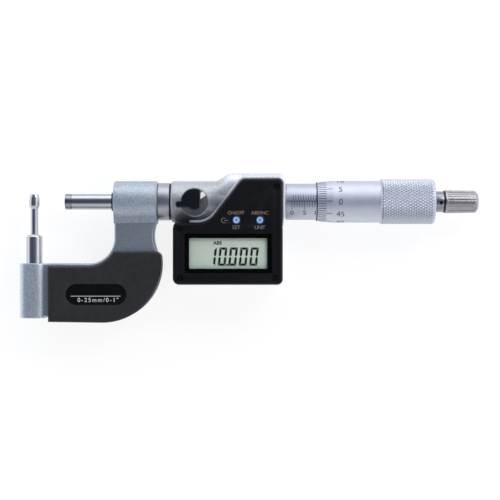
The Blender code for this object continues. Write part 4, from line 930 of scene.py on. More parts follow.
def upper_edge(grow=0.0):
    corner = CORNER_UPPER_RIGHT
    slope = SLOPE_ANGLE + 90
    top = tangent_centre(PANEL_TOP - CORNER_SLOPE, -CORNER_SLOPE)
    bay = tangent_centre(PANEL_STEP + BAY_RADIUS, BAY_RADIUS)
    return [
        *arc((PANEL_RIGHT - corner, PANEL_TOP - corner), corner + grow, 0, 90),
        *arc(top, CORNER_SLOPE + grow, 90, slope),
        *arc(bay, BAY_RADIUS - grow, slope - 180, -90),
    ]


def lower_corners(inset=0.0):
    left = (PANEL_LEFT + CORNER_LOWER_LEFT, PANEL_BOTTOM + CORNER_LOWER_LEFT)
    right = (PANEL_RIGHT - CORNER_LOWER_RIGHT, PANEL_BOTTOM + CORNER_LOWER_RIGHT)
    return [
        *arc(left, CORNER_LOWER_LEFT - inset, 180, 270),
        *arc(right, CORNER_LOWER_RIGHT - inset, 270, 360),
    ]


def panel_outline(grow=0.0):
    step = (PANEL_LEFT + CORNER_STEP, PANEL_STEP - CORNER_STEP)
    return [*lower_corners(-grow), *upper_edge(grow), *arc(step, CORNER_STEP + grow, 90, 180)]


# %% Rim and tray
RIM_FADE = 4.0
RIM_WIDTH = 1.0
RIM_LEFT = -15.0
TRAY_TOP = 5.0


def rim_outline():
    bottom = PANEL_STEP - CORNER_STEP
    return [
        (PANEL_RIGHT, bottom),
        (PANEL_RIGHT + RIM_WIDTH, bottom + RIM_FADE),
        *upper_edge(RIM_WIDTH),
        (RIM_LEFT, PANEL_STEP + RIM_WIDTH),
        (RIM_LEFT, bottom),
    ]


def tray_outline(inset=0.0, top=TRAY_TOP):
    return [*lower_corners(inset), (PANEL_RIGHT - inset, top - inset), (PANEL_LEFT + inset, top - inset)]


# %% [markdown]
# ### The shoulder of the head
# The shoulder changes from round at the barrel to nearly square at the panel. It could be a box with
# subdivided faces, but a half ring needs only its height and one power: 2 makes it a circle, and
# more makes it squarer.

# %% Shoulder
HEAD_LEFT = -22.6
HEAD_RIGHT = 22.9
BARREL_RADIUS = 8.25
SHOULDER_TOP = 11.3
SHOULDER_START = -6.2
SHOULDER_END = 2.0
SHOULDER_SINK = 0.3
SHOULDER_CORNER = 2.6
SQUARENESS = 3.5


def shoulder_rise(x):
    """How far along the S from the barrel to the panel block the top line is."""
    share = (x - SHOULDER_START) / (SHOULDER_END - SHOULDER_START)
    share = min(max(share, 0.0), 1.0)
    return share * share * (3 - 2 * share)


def shoulder_section(x, steps=48):
    """Half a ring over the barrel: round where it leaves the barrel and squarer at the panel."""
    low = BARREL_RADIUS - SHOULDER_SINK
    past = max(0.0, x - HEAD_RIGHT + SHOULDER_CORNER)
    drop = SHOULDER_CORNER - math.sqrt(max(0.0, SHOULDER_CORNER ** 2 - past ** 2))
    top = low + (SHOULDER_TOP - low) * shoulder_rise(x) - drop
    power = 2 + (SQUARENESS - 2) * shoulder_rise(x)
    ring = []
    for i in range(steps + 1):
        angle = math.pi * i / steps
        across = (abs(math.cos(angle)) / low) ** power
        upward = (abs(math.sin(angle)) / top) ** power
        reach = (across + upward) ** (-1 / power)
        ring.append(spot(x, reach * math.sin(angle), reach * math.cos(angle)))
    return ring


def shoulder():
    steps = 24
    stations = [SHOULDER_START + (SHOULDER_END - SHOULDER_START) * i / steps for i in range(steps + 1)]
    for angle in range(0, 91, 10):
        stations.append(HEAD_RIGHT - SHOULDER_CORNER * (1 - math.sin(math.radians(angle))))
    return skinned("shoulder", [shoulder_section(x) for x in stations])


# %% [markdown]
# ### The casting in one piece
# The barrel, the rim, the shoulder, the tray and the lock's round seat are joined, and the room
# inside is cut out. The exact solver could do it, but the shapes meet at shallow angles, and the
# manifold solver always gives a closed shape from closed ones.

# %% Head casting
BARREL_SHORT = 0.4
BARREL_EDGE = 0.9
RIM_DEPTH = 9.2
RIM_EDGE = 0.65
TRAY_FRONT = -3.0
TRAY_WALL = 1.6
TRAY_EDGE = 1.2
SEAT_DEPTH = 8.2
LOCK_X = -12.9
LOCK_PLACE = (LOCK_X - 0.15, -0.45)
LOCK_SEAT_RADIUS = 5.8
LOCK_SEAT_TOP = BARREL_RADIUS + 0.15
LOCK_SEAT_EDGE = 0.2
STEM_END = -17.6
SPINDLE_ROOM = 3.575
ENCODER_X = 2.0
ENCODER_ROOM = 7.0
BATTERY_PLACE = (0.0, -20.5)
BATTERY_WELL = 7.8
BATTERY_LEDGE = -8.6
BATTERY_NECK = 6.8
barrel_ends = [(HEAD_LEFT, BARREL_RADIUS), (HEAD_RIGHT - BARREL_SHORT, BARREL_RADIUS)]
barrel = turned("head_casting", rod_profile(barrel_ends, BARREL_EDGE), "X", LARGE_SIDES)
raised = extruded("raised", rim_outline(), TRAY_FRONT - TRAY_WALL, RIM_DEPTH, RIM_EDGE, steps=5)
tray = extruded("tray", tray_outline(), -AXIS_HEIGHT, TRAY_FRONT, 0.0, TRAY_EDGE, steps=4)
seat_ends = [(0.0, LOCK_SEAT_RADIUS), (LOCK_SEAT_TOP, LOCK_SEAT_RADIUS)]
lock_seat = turned("lock_seat", rod_profile(seat_ends, LOCK_SEAT_EDGE), "Z", SIDES, LOCK_PLACE)
body = joined(barrel, raised, shoulder(), tray, lock_seat, solver="MANIFOLD")
seat = extruded("seat", panel_outline(), SEAT_DEPTH, PANEL_FACE + CUT_PAST)
room_outline = tray_outline(TRAY_WALL, PANEL_STEP - CORNER_STEP)
room = extruded("room", room_outline, TRAY_WALL - AXIS_HEIGHT, PANEL_FACE)
passage = drill("passage", [
    (HEAD_LEFT - CUT_PAST, STEM_END, HUB_BORE),
    (STEM_END, ENCODER_X, SPINDLE_ROOM),
    (ENCODER_X, HEAD_RIGHT + CUT_PAST, ENCODER_ROOM),
])
well = drill("well", [
    (-AXIS_HEIGHT - CUT_PAST, BATTERY_LEDGE, BATTERY_WELL),
    (BATTERY_LEDGE, PANEL_FACE, BATTERY_NECK),
], "Z", SIDES, BATTERY_PLACE)
body = edged(cut(body, seat, room, passage, well, solver="MANIFOLD"), CAST_EDGE, angle=40.0)
dress(body, "frame_body", "housing_paint", HEAD_PAINT, "head_housing", crease=35.0)

# %% [markdown]
# ## The front panel
# The panel is a black moulding let into the casting, with a broken edge all round and a skirt that
# closes the sides below the barrel. It carries the window, the two keys and four small screws. It
# could be a box with a bevel, but its edge has to follow the casting's, so it uses the same line.

# %% Panel sizes
WINDOW_LEFT = -15.2
WINDOW_RIGHT = 15.6
WINDOW_BOTTOM = -26.7
WINDOW_TOP = -14.6
WINDOW_CORNER = 0.3
LENS_BORDER = 1.8
LENS_FLOOR = PANEL_FACE - 1.3
LENS_ROOM_CORNER = 0.8
KEY_Y = -7.55
KEY_PLACES = (("power", 3.45), ("mode", 12.7))
KEY_HOLE = 2.2
SCREW_PLACES = ((-18.8, -10.9), (-18.7, -30.2), (18.7, -30.2), (19.2, 5.6))
SCREW_HOLE = 1.2
SCREW_HOLE_SIDES = 32
SCREW_FLOOR = 9.0
HOLE_TOP = 13.0
PANEL_BACK = PANEL_FACE - 2.0
PANEL_GAP = 0.2
PANEL_RIM = 0.9
PANEL_EDGE = 0.1
SKIRT_GAP = 0.3
SKIRT_LAP = 0.5
SKIRT_WALL = 1.2


def window_box(grow, corner):
    sides = (WINDOW_LEFT - grow, WINDOW_RIGHT + grow, WINDOW_BOTTOM - grow, WINDOW_TOP + grow)
    return rounded_box(*sides, corner)


# %% Front panel
plate = extruded("plate", panel_outline(-PANEL_GAP), PANEL_BACK, PANEL_FACE, PANEL_RIM, steps=4)
skirt_outline = tray_outline(0.0, PANEL_STEP - CORNER_STEP - SKIRT_GAP)
skirt = extruded("panel_moulding", skirt_outline, TRAY_FRONT + SKIRT_GAP, PANEL_BACK + SKIRT_LAP)
inside_outline = tray_outline(SKIRT_WALL, 0.0)
inside = extruded("inside", inside_outline, TRAY_FRONT - CUT_PAST, PANEL_BACK + CUT_PAST)
panel = joined(cut(skirt, inside), plate)
cutters = [
    extruded("lens_room", window_box(LENS_BORDER, LENS_ROOM_CORNER), LENS_FLOOR, PANEL_FACE + CUT_PAST),
    extruded("window", window_box(0.0, WINDOW_CORNER), 0.0, PANEL_FACE),
]
for key, x in KEY_PLACES:
    cutters.append(drill("hole", [(0.0, HOLE_TOP, KEY_HOLE)], "Z", SMALL_SIDES, (x, KEY_Y)))
for place in SCREW_PLACES:
    cutters.append(drill("hole", [(SCREW_FLOOR, HOLE_TOP, SCREW_HOLE)], "Z", SCREW_HOLE_SIDES, place))
panel = edged(cut(panel, *cutters), PANEL_EDGE)
dress(panel, "frame_body", "panel_plastic", PANEL_PLASTIC, "front_panel")

# %% [markdown]
# ## Window and display
# A clear sheet closes the window, with a black border printed on its under side. Behind it lies a
# grey-green liquid crystal display. The border could be a second colour on the sheet, but as a thin
# ring of its own it hides the edge of the display.

# %% Lens and display plate
LENS_GAP = 0.2
LENS_CORNER = 0.7
LENS_HEIGHT = 1.1
GLASS_EDGE = 0.1
BORDER_LOW = LENS_FLOOR + 0.02
BORDER_HIGH = LENS_FLOOR + 0.12
OPENING_LAP = 0.05
OPENING_CUT = 1.0
LCD_FACE = SEAT_DEPTH
LCD_GROW = 1.2
LCD_CORNER = 0.4
LCD_THICKNESS = 1.2
sheet = window_box(LENS_BORDER - LENS_GAP, LENS_CORNER)
lens = extruded("window_sheet", sheet, LENS_FLOOR + LENS_GAP, LENS_FLOOR + LENS_HEIGHT, GLASS_EDGE)
dress(lens, "frame_body", "clear_lens", LENS, "window_lens")
border = extruded("window_border", sheet, BORDER_LOW, BORDER_HIGH)
hole = window_box(-OPENING_LAP, WINDOW_CORNER)
opening = extruded("opening", hole, LENS_FLOOR - OPENING_CUT, LENS_FLOOR + OPENING_CUT)
dress(cut(border, opening), "frame_body", "panel_plastic", WINDOW_FRAME)
display = window_box(LCD_GROW, LCD_CORNER)
lcd = extruded("display_plate", display, LCD_FACE - LCD_THICKNESS, LCD_FACE, GLASS_EDGE)
dress(lcd, "frame_body", "lcd_glass", LCD_GLASS, "lcd")

# %% [markdown]
# ### The figures of the display
# A display's figures are slanted bars, mitred at the corners and pointed at the waist. A font could
# write them, but Blender's own has no such bars. One small function draws any bar, and a figure only
# says which bars are on.

# %% Seven-bar figures
DIGIT_HEIGHT = 7.2
DIGIT_WIDTH = 2.2
DIGIT_PITCH = 4.13
DIGIT_BASE = -25.5
DIGIT_LEFT = -3.5
DIGIT_LEAN = 6
DIGIT_SLANT = math.tan(math.radians(DIGIT_LEAN))
BAR_WIDTH = 0.9
BAR_GAP = 0.08
FIGURE_DEPTH = LCD_FACE + 0.03
WAIST = 0.5
BARS = {
    "top": ((0, 1), (1, 1), (0, 1)),
    "upper_left": ((0, WAIST), (0, 1), (-1, 0)),
    "upper_right": ((1, WAIST), (1, 1), (1, 0)),
    "lower_left": ((0, 0), (0, WAIST), (-1, 0)),
    "lower_right": ((1, 0), (1, WAIST), (1, 0)),
    "bottom": ((0, 0), (1, 0), (0, -1)),
}
ONE = ("upper_right", "lower_right")
ZERO = ("top", "upper_left", "upper_right", "lower_left", "lower_right", "bottom")


# %% Bars
def digit_point(u, v):
    return Vector((u * DIGIT_WIDTH, v * (DIGIT_HEIGHT - BAR_WIDTH) + BAR_WIDTH / 2))


def bar_end(point, away, outward, pointed):
    """A bar's end is pointed at the figure's waist and mitred at its corners."""
    side = outward * BAR_WIDTH / 2
    reach = away * BAR_WIDTH / 2
    point = point - away * BAR_GAP
    if pointed:
        return [point - reach + side, point, point - reach - side]
    return [point + reach + side, point - reach - side]


def bar_points(start, end, outward):
    first, last = digit_point(*start), digit_point(*end)
    along = (last - first).normalized()
    outward = Vector(outward)
    near = bar_end(first, -along, outward, start[1] == WAIST)
    far = bar_end(last, along, outward, end[1] == WAIST)
    return [*reversed(near), *far]


def draw_figure(bm, left, bars):
    for bar in bars:
        corners = []
        for point in bar_points(*BARS[bar]):
            x = left + point.x + point.y * DIGIT_SLANT
            corners.append(bm.verts.new(spot(x, DIGIT_BASE + point.y, FIGURE_DEPTH)))
        face = bm.faces.new(corners)
        face.normal_update()
        if face.normal.z < 0:
            face.normal_flip()


# %% Display figures
ZEROS = 4
POINT_SIZE = 0.75
POINT_X = -0.55
POINT_Y = DIGIT_BASE - 0.1
bm = bmesh.new()
draw_figure(bm, DIGIT_LEFT - DIGIT_PITCH, ONE)
for place in range(ZEROS):
    draw_figure(bm, DIGIT_LEFT + place * DIGIT_PITCH, ZERO)
square = [(0.0, 0.0), (POINT_SIZE, 0.0), (POINT_SIZE, POINT_SIZE), (0.0, POINT_SIZE)]
bm.faces.new([bm.verts.new(spot(POINT_X + x, POINT_Y + y, FIGURE_DEPTH)) for x, y in square])
figures = new_object("display_figures", bm)
dress(figures, "frame_body", "lcd_glass", SEGMENT_INK)

# %% [markdown]
# ## Lettering
# Names of the keys, the range and the numbers of the scales are printed. They could be pictures on
# the surface, but Blender's own font gives clean outlines, which become thin flat meshes. On a round
# piece the mesh is first cut finer and then wrapped round the axis.

# %% Lettering helpers
CAPITAL_SHARE = 0.69
LETTER_STEPS = 3
WRAP_EDGE = 0.25
WRAP_CUTS = 4


def letters(name, words, height, place, depth, weight=0.0, gap=1.0):
    """Flat lettering, centred on a place. Height is that of a capital or a figure."""
    data = bpy.data.curves.new(name, "FONT")
    data.body = words
    data.align_x = "CENTER"
    data.align_y = "CENTER"
    data.offset = weight * MM
    data.space_character = gap
    data.size = height / CAPITAL_SHARE * MM
    data.resolution_u = LETTER_STEPS
    text = placed(name, data)
    graph = bpy.context.evaluated_depsgraph_get()
    mesh = bpy.data.meshes.new_from_object(text.evaluated_get(graph))
    bpy.data.objects.remove(text)
    heights = [vertex.co.y for vertex in mesh.vertices]
    middle = (min(heights) + max(heights)) / 2
    mesh.transform(Matrix.Translation(spot(place[0], place[1], depth) - Vector((0.0, middle, 0.0))))
    return placed(name, mesh)


def one_mesh(name, pieces):
    """Several objects put together as one, without merging their points."""
    bm = bmesh.new()
    for part in pieces:
        bm.from_mesh(part.data)
        bpy.data.objects.remove(part)
    mesh = bpy.data.meshes.new(name)
    bm.to_mesh(mesh)
    bm.free()
    return placed(name, mesh)


def wrapped(obj, radius):
    """Roll flat lettering round the spindle's line, from a flat sheet that touches at y = 0."""
    bm = bmesh.new()
    bm.from_mesh(obj.data)
    bmesh.ops.triangulate(bm, faces=bm.faces[:])
    long_edges = [e for e in bm.edges if e.calc_length() > WRAP_EDGE * MM]
    bmesh.ops.subdivide_edges(bm, edges=long_edges, cuts=WRAP_CUTS, use_grid_fill=True)
    for vert in bm.verts:
        angle = vert.co.y / (radius * MM)
        vert.co.y = math.sin(angle) * radius * MM
        vert.co.z = AXIS_HEIGHT * MM + math.cos(angle) * radius * MM
    bm.to_mesh(obj.data)
    bm.free()
    return obj


# %% [markdown]
# ### Words on the panel, the display and the label
# Each key has a name above it and one below, in two tints of print, and a small sign stands beside
# the power key. One text could hold several words, but each has its own place and spacing.

# %% Key names
PRINT_DEPTH = PANEL_FACE + 0.02
UPPER_Y = -4.7
UPPER_HEIGHT = 1.35
LOWER_Y = -10.4
LOWER_HEIGHT = 1.4
# Words, their middle along the spindle and the space between their letters.
UPPER_WORDS = (("ON/OFF", 3.3, 0.9), ("ABS/INC", 12.7, 0.94))
LOWER_WORDS = (("SET", 3.4, 1.0), ("UNIT", 12.7, 0.84))


def key_names(name, rows, height, y):
    made = [letters("words", words, height, (x, y), PRINT_DEPTH, gap=gap) for words, x, gap in rows]
    return one_mesh(name, made)


upper = key_names("upper_key_names", UPPER_WORDS, UPPER_HEIGHT, UPPER_Y)
dress(upper, "frame_body", "panel_plastic", PRINT_ORANGE)
lower = key_names("lower_key_names", LOWER_WORDS, LOWER_HEIGHT, LOWER_Y)
dress(lower, "frame_body", "panel_plastic", PRINT_GREY)

# %% Power sign
SIGN_PLACE = (-1.45, -7.7)
SIGN_RADIUS = 0.95
SIGN_WIDTH = 0.2
SIGN_OPENING = 50
DASH_REACH = 1.7


def power_sign(name):
    """An open ring with a dash that leaves it on the right."""
    bm = bmesh.new()
    x, y = SIGN_PLACE
    half = SIGN_WIDTH / 2
    inner = arc(SIGN_PLACE, SIGN_RADIUS - half, SIGN_OPENING, 360 - SIGN_OPENING)
    outer = arc(SIGN_PLACE, SIGN_RADIUS + half, SIGN_OPENING, 360 - SIGN_OPENING)
    rows = [[bm.verts.new(spot(*point, PRINT_DEPTH)) for point in pair] for pair in zip(inner, outer)]
    for before, after in zip(rows, rows[1:]):
        bm.faces.new((before[0], before[1], after[1], after[0]))
    end = x + DASH_REACH * SIGN_RADIUS
    dash = [(x, y - half), (end, y - half), (end, y + half), (x, y + half)]
    bm.faces.new([bm.verts.new(spot(*point, PRINT_DEPTH)) for point in dash])
    return new_object(name, bm)


dress(power_sign("power_sign"), "frame_body", "panel_plastic", PRINT_GREY)

# %% Display word, range and rule
MODE_PLACE = (-4.0, -16.5)
MODE_HEIGHT = 1.35
MODE_WEIGHT = 0.06
RANGE_PLACE = (LABEL_X + 0.8, -39.0)
RANGE_HEIGHT = 1.65
RANGE_GAP = 1.3
LABEL_PRINT = LABEL_FLOOR + 0.14
RULE_LEFT = -62.0
RULE_RIGHT = -42.4
RULE_BOTTOM = -37.65
RULE_TOP = -37.45
RULE_LOW = LABEL_PRINT - 0.04
mode = letters("display_mode_word", "ABS", MODE_HEIGHT, MODE_PLACE, FIGURE_DEPTH, MODE_WEIGHT)
dress(mode, "frame_body", "lcd_glass", SEGMENT_INK)
measures = letters("range_figures", "0-25mm/0-1\"", RANGE_HEIGHT, RANGE_PLACE, LABEL_PRINT, gap=RANGE_GAP)
dress(measures, "frame_body", "grip_plastic", PRINT_WHITE)
rule = block("label_rule", RULE_LEFT, RULE_RIGHT, RULE_BOTTOM, RULE_TOP, RULE_LOW, LABEL_PRINT)
dress(rule, "frame_body", "grip_plastic", PRINT_WHITE)

# %% [markdown]
# ## Copies round an axis
# Scale marks, knurling, the ribs of the ratchet knob and the panel's screws all repeat one small
# shape. Array modifiers could repeat it too, but hardly with every row shifted round. A Geometry
# Nodes tree copies the shape along the spindle and round it: each point's number says which row and
# which step round the axis it is. The result is turned into a plain mesh.


# %% Tree helpers
def new_tree(name, inputs):
    """An empty tree with named inputs and one shape as its output."""
    tree = bpy.data.node_groups.new(name, "GeometryNodeTree")
    tree.interface.new_socket("Geometry", in_out="OUTPUT", socket_type="NodeSocketGeometry")
    for label, kind in inputs:
        tree.interface.new_socket(label, in_out="INPUT", socket_type=f"NodeSocket{kind}")
    return tree


def end_tree(tree, copies, material):
    """Make the copies real, give them their finish and hand them out."""
    real = tree.nodes.new("GeometryNodeRealizeInstances")
    tree.links.new(copies.outputs[0], real.inputs[0])
    painted = tree.nodes.new("GeometryNodeSetMaterial")
    tree.links.new(real.outputs[0], painted.inputs["Geometry"])
    tree.links.new(material, painted.inputs["Material"])
    result = tree.nodes.new("NodeGroupOutput")
    tree.links.new(painted.outputs[0], result.inputs[0])


def grown(obj, tree, values):
    """Give an object what a tree makes of it. A tree's inputs are set by their identifiers."""
    modifier = obj.modifiers.new("copies", "NODES")
    modifier.node_group = tree
    for socket in tree.interface.items_tree:
        if socket.in_out == "INPUT" and socket.name in values:
            modifier[socket.identifier] = values[socket.name]
    return settled(obj)


# %% Tree: copies along and round the spindle
def copies_tree():
    tree = new_tree("copies_round_the_spindle", [
        ("Geometry", "Geometry"), ("Around", "Int"), ("Along", "Int"), ("Step Angle", "Float"),
        ("Pitch", "Float"), ("Stagger", "Float"), ("First Place", "Float"), ("Axis Height", "Float"),
        ("Leave Out Every", "Int"), ("Material", "Material")])
    links = tree.links
    given = tree.nodes.new("NodeGroupInput")
    index = tree.nodes.new("GeometryNodeInputIndex").outputs[0]
    around = math_node(tree, "MODULO", index, given.outputs["Around"])
    row = math_node(tree, "FLOOR", math_node(tree, "DIVIDE", index, given.outputs["Around"]))
    total = math_node(tree, "MULTIPLY", given.outputs["Around"], given.outputs["Along"])
    along = math_node(tree, "MULTIPLY", row, given.outputs["Pitch"])
    place = tree.nodes.new("ShaderNodeCombineXYZ")
    links.new(math_node(tree, "ADD", along, given.outputs["First Place"]), place.inputs["X"])
    links.new(given.outputs["Axis Height"], place.inputs["Z"])
    points = tree.nodes.new("GeometryNodePoints")
    links.new(total, points.inputs["Count"])
    links.new(place.outputs[0], points.inputs["Position"])
    turn = math_node(tree, "MULTIPLY", around, given.outputs["Step Angle"])
    shift = math_node(tree, "MULTIPLY", row, given.outputs["Stagger"])
    angle = math_node(tree, "ADD", turn, shift)
    euler = tree.nodes.new("ShaderNodeCombineXYZ")
    links.new(angle, euler.inputs["X"])
    rotation = tree.nodes.new("FunctionNodeEulerToRotation")
    links.new(euler.outputs[0], rotation.inputs[0])
    skip = given.outputs["Leave Out Every"]
    not_skipped = math_node(tree, "GREATER_THAN", math_node(tree, "MODULO", index, skip), 0.5)
    kept = math_node(tree, "MAXIMUM", math_node(tree, "LESS_THAN", skip, 0.5), not_skipped)
    copies = tree.nodes.new("GeometryNodeInstanceOnPoints")
    links.new(points.outputs[0], copies.inputs["Points"])
    links.new(kept, copies.inputs["Selection"])
    links.new(given.outputs["Geometry"], copies.inputs["Instance"])
    links.new(rotation.outputs[0], copies.inputs["Rotation"])
    end_tree(tree, copies, given.outputs["Material"])
    return tree


COPIES = copies_tree()


def copied(obj, surface, around=1, along=1, step=0.0, pitch=0.0, stagger=0.0, first=0.0, leave_out=0):
    """Copies of a small shape drawn about the spindle's own line. The shape itself is used up."""
    return grown(obj, COPIES, {
        "Around": around, "Along": along, "Step Angle": math.radians(step), "Pitch": pitch * MM,
        "Stagger": math.radians(stagger), "First Place": first * MM, "Axis Height": AXIS_HEIGHT * MM,
        "Leave Out Every": leave_out, "Material": surface,
    })


# %% [markdown]
# ## The sleeve and its scale
# The sleeve doesn't move. A long index line runs along it, with whole millimetres marked below the
# line and halves above. The marks could be cut into the tube, but they are filled with ink and so
# fine that strips, bent to the sleeve's own radius and a hair above it, look the same.

# %% Sleeve
SLEEVE_LEFT = 23.1
SLEEVE_RIGHT = 55.0
SLEEVE_RADIUS = 7.25
SLEEVE_BORE = 6.2
SLEEVE_EDGE = 0.2
INK = 0.012
wall = tube_profile(SLEEVE_LEFT, SLEEVE_RIGHT, SLEEVE_BORE, SLEEVE_RADIUS, SLEEVE_EDGE)
sleeve = turned("sleeve_tube", wall, "X", LARGE_SIDES)
dress(sleeve, "frame_body", "satin_chrome", SATIN_CHROME, "sleeve")


def bent_strip(name, half_width, start, end, steps=8):
    """A strip across the sleeve from one distance round it to another, drawn about its axis."""
    bm = bmesh.new()
    rows = []
    reach = SLEEVE_RADIUS + INK
    for i in range(steps + 1):
        angle = (start + (end - start) * i / steps) / SLEEVE_RADIUS
        y, z = reach * math.sin(angle), reach * math.cos(angle)
        rows.append([bm.verts.new(Vector((x, y, z)) * MM) for x in (-half_width, half_width)])
    for (a, b), (c, d) in zip(rows, rows[1:]):
        bm.faces.new((a, b, d, c))
    return new_object(name, bm)


# %% Sleeve marks
ZERO_X = 25.4
MARKS = 26
MARK_HALF = 0.1
FIVE = 5
HALF_FIRST = ZERO_X + 0.5
# Where each kind of mark starts and ends, measured round the sleeve from the index line.
SHORT_MARK = (-2.45, 0.0)
FIVE_MARK = (-3.4, 0.0)
HALF_MARK = (0.25, 2.45)
INDEX_MARK = (-0.15, 0.15)
INDEX_MIDDLE = 39.2
INDEX_HALF = 15.8
FIGURE_HEIGHT = 2.1
FIGURE_Y = -5.0


def sleeve_marks(reach, count=1, pitch=0.0, first=0.0, half_width=MARK_HALF, leave_out=0):
    strip = bent_strip("marks", half_width, *reach)
    return copied(strip, ENGRAVED, along=count, pitch=pitch, first=first, leave_out=leave_out)


short = sleeve_marks(SHORT_MARK, MARKS, 1.0, ZERO_X, leave_out=FIVE)
fives = sleeve_marks(FIVE_MARK, MARKS // FIVE + 1, FIVE, ZERO_X)
halves = sleeve_marks(HALF_MARK, MARKS - 1, 1.0, HALF_FIRST)
index_line = sleeve_marks(INDEX_MARK, first=INDEX_MIDDLE, half_width=INDEX_HALF)
figures = []
for number in range(0, MARKS, FIVE):
    figures.append(letters("figure", str(number), FIGURE_HEIGHT, (ZERO_X + number, FIGURE_Y), 0.0))
figures = wrapped(one_mesh("figure", figures), SLEEVE_RADIUS + INK)
scale = one_mesh("sleeve_scale", [short, fives, halves, index_line, figures])
dress(scale, "frame_body", "satin_chrome", ENGRAVED)

# %% [markdown]
# ## The thimble
# The thimble turns round the sleeve. It is a tube with a bevelled edge for the divisions and a thick
# end for the knurl. A thin dark ring in its mouth is painted shade for the gap between the thimble
# and the sleeve. It could be built from a tube and rings, but one half outline, turned, keeps the
# grooves between them in line.

# %% Thimble body
THIMBLE_LEFT = 35.3
THIMBLE_RIGHT = 82.4
THIMBLE_RADIUS = 8.36
THIMBLE_BORE = 7.45
THIMBLE_EDGE = 0.12
SOCKET_X = 75.2
BEVEL = 6.4
BEVEL_START = THIMBLE_BORE + 0.24
KNURL_LEFT = 61.5
KNURL_RADIUS = 9.0
KNURL_DEPTH = 0.3
KNURL_ROOT = KNURL_RADIUS - KNURL_DEPTH
MOUTH_LEFT = THIMBLE_LEFT - 0.1
MOUTH_RIGHT = THIMBLE_LEFT + 0.3
MOUTH_RADIUS = BEVEL_START + 0.06
MOUTH_EDGE = 0.05
# The bore, the bevel, the groove before the knurl, the knurl's root, the end and the taper's socket.
THIMBLE_PROFILE = [
    (SOCKET_X, THIMBLE_BORE), (THIMBLE_LEFT, THIMBLE_BORE), (THIMBLE_LEFT, BEVEL_START),
    (THIMBLE_LEFT + BEVEL, THIMBLE_RADIUS), (60.4, THIMBLE_RADIUS), (61.1, KNURL_RADIUS),
    (61.1, THIMBLE_RADIUS), (KNURL_LEFT, THIMBLE_RADIUS), (KNURL_LEFT, KNURL_ROOT), (81.6, KNURL_ROOT),
    (82.0, 8.5), (82.3, 8.1), (THIMBLE_RIGHT, 7.5), (THIMBLE_RIGHT, 3.35), (SOCKET_X, 4.2),
]
thimble = turned("thimble_body", softened(THIMBLE_PROFILE, THIMBLE_EDGE), "X", LARGE_SIDES)
dress(thimble, "spindle_body", "satin_chrome", THIMBLE_CHROME, "thimble")
# A thin black ring in the thimble's mouth: painted shade for the gap at the sleeve.
lip = tube_profile(MOUTH_LEFT, MOUTH_RIGHT, THIMBLE_BORE, MOUTH_RADIUS, MOUTH_EDGE)
mouth = turned("thimble_wiper", lip)
dress(mouth, "spindle_body", "black_steel", BLACK_STEEL)

# %% [markdown]
# ### The knurl
# Knurling presses rows of small diamonds into the steel, each row half a step round from the last. A
# bump pattern could fake it, but its outline would stay smooth, so one flat-topped diamond of a few
# faces is copied.

# %% Knurl
KNURL_AROUND = 48
KNURL_PITCH = 1.01
KNURL_ROWS = 20
KNURL_FIRST = KNURL_LEFT + 0.2
KNURL_STEP = 360.0 / KNURL_AROUND
KNURL_SINK = 0.03
# Radius of each ring of a diamond and its share of the diamond's full width.
DIAMOND_RINGS = ((KNURL_ROOT - KNURL_SINK, 1.0), (KNURL_RADIUS - KNURL_SINK, 0.16), (KNURL_RADIUS, 0.08))


def diamond(name):
    """One flat-topped diamond on the knurl's root, drawn about the thimble's axis."""
    bm = bmesh.new()
    half_turn = math.pi / KNURL_AROUND
    rings = []
    for radius, share in DIAMOND_RINGS:
        ring = []
        for along, turn in ((KNURL_PITCH, 0.0), (0.0, half_turn), (-KNURL_PITCH, 0.0), (0.0, -half_turn)):
            across = radius * math.sin(turn * share)
            up = radius * math.cos(turn * share)
            ring.append(bm.verts.new(Vector((along * share, across, up)) * MM))
        rings.append(ring)
    for lower, upper in zip(rings, rings[1:]):
        for i in range(len(lower)):
            bm.faces.new((lower[i - 1], lower[i], upper[i], upper[i - 1]))
    bm.faces.new(rings[-1])
    return new_object(name, bm)


knurl = copied(diamond("thimble_knurl"), KNURL_CHROME, KNURL_AROUND, KNURL_ROWS, KNURL_STEP,
               KNURL_PITCH, KNURL_STEP / 2, KNURL_FIRST)
dress(knurl, "spindle_body", "satin_chrome", KNURL_CHROME, crease=20.0)

# %% [markdown]
# ### The thimble's divisions
# Fifty divisions run round the bevel, every fifth one long and numbered. They could be wrapped from
# a flat drawing, but the bevel is a cone, so a single strip is laid on it and copied round.

# %% Thimble divisions
DIVISIONS = 50
DIVISION_STEP = 360.0 / DIVISIONS
DIVISION_HALF = 0.13
DIVISION_LEFT = 35.8
SHORT_RIGHT = 39.0
LONG_RIGHT = 41.4
NUMBER_X = 44.6
NUMBER_HEIGHT = 2.4
NUMBER_TURN = 2.0
FIVE_STEP = FIVE * DIVISION_STEP


def bevel_strip(name, start, end):
    """A strip along the thimble's bevel, drawn about its axis."""
    slope = (THIMBLE_RADIUS - BEVEL_START) / BEVEL
    bm = bmesh.new()
    ends = []
    for x in (start, end):
        radius = BEVEL_START + slope * (x - THIMBLE_LEFT) + INK
        ends.append([bm.verts.new(Vector((x, y, radius)) * MM) for y in (-DIVISION_HALF, DIVISION_HALF)])
    bm.faces.new((ends[0][0], ends[1][0], ends[1][1], ends[0][1]))
    return new_object(name, bm)


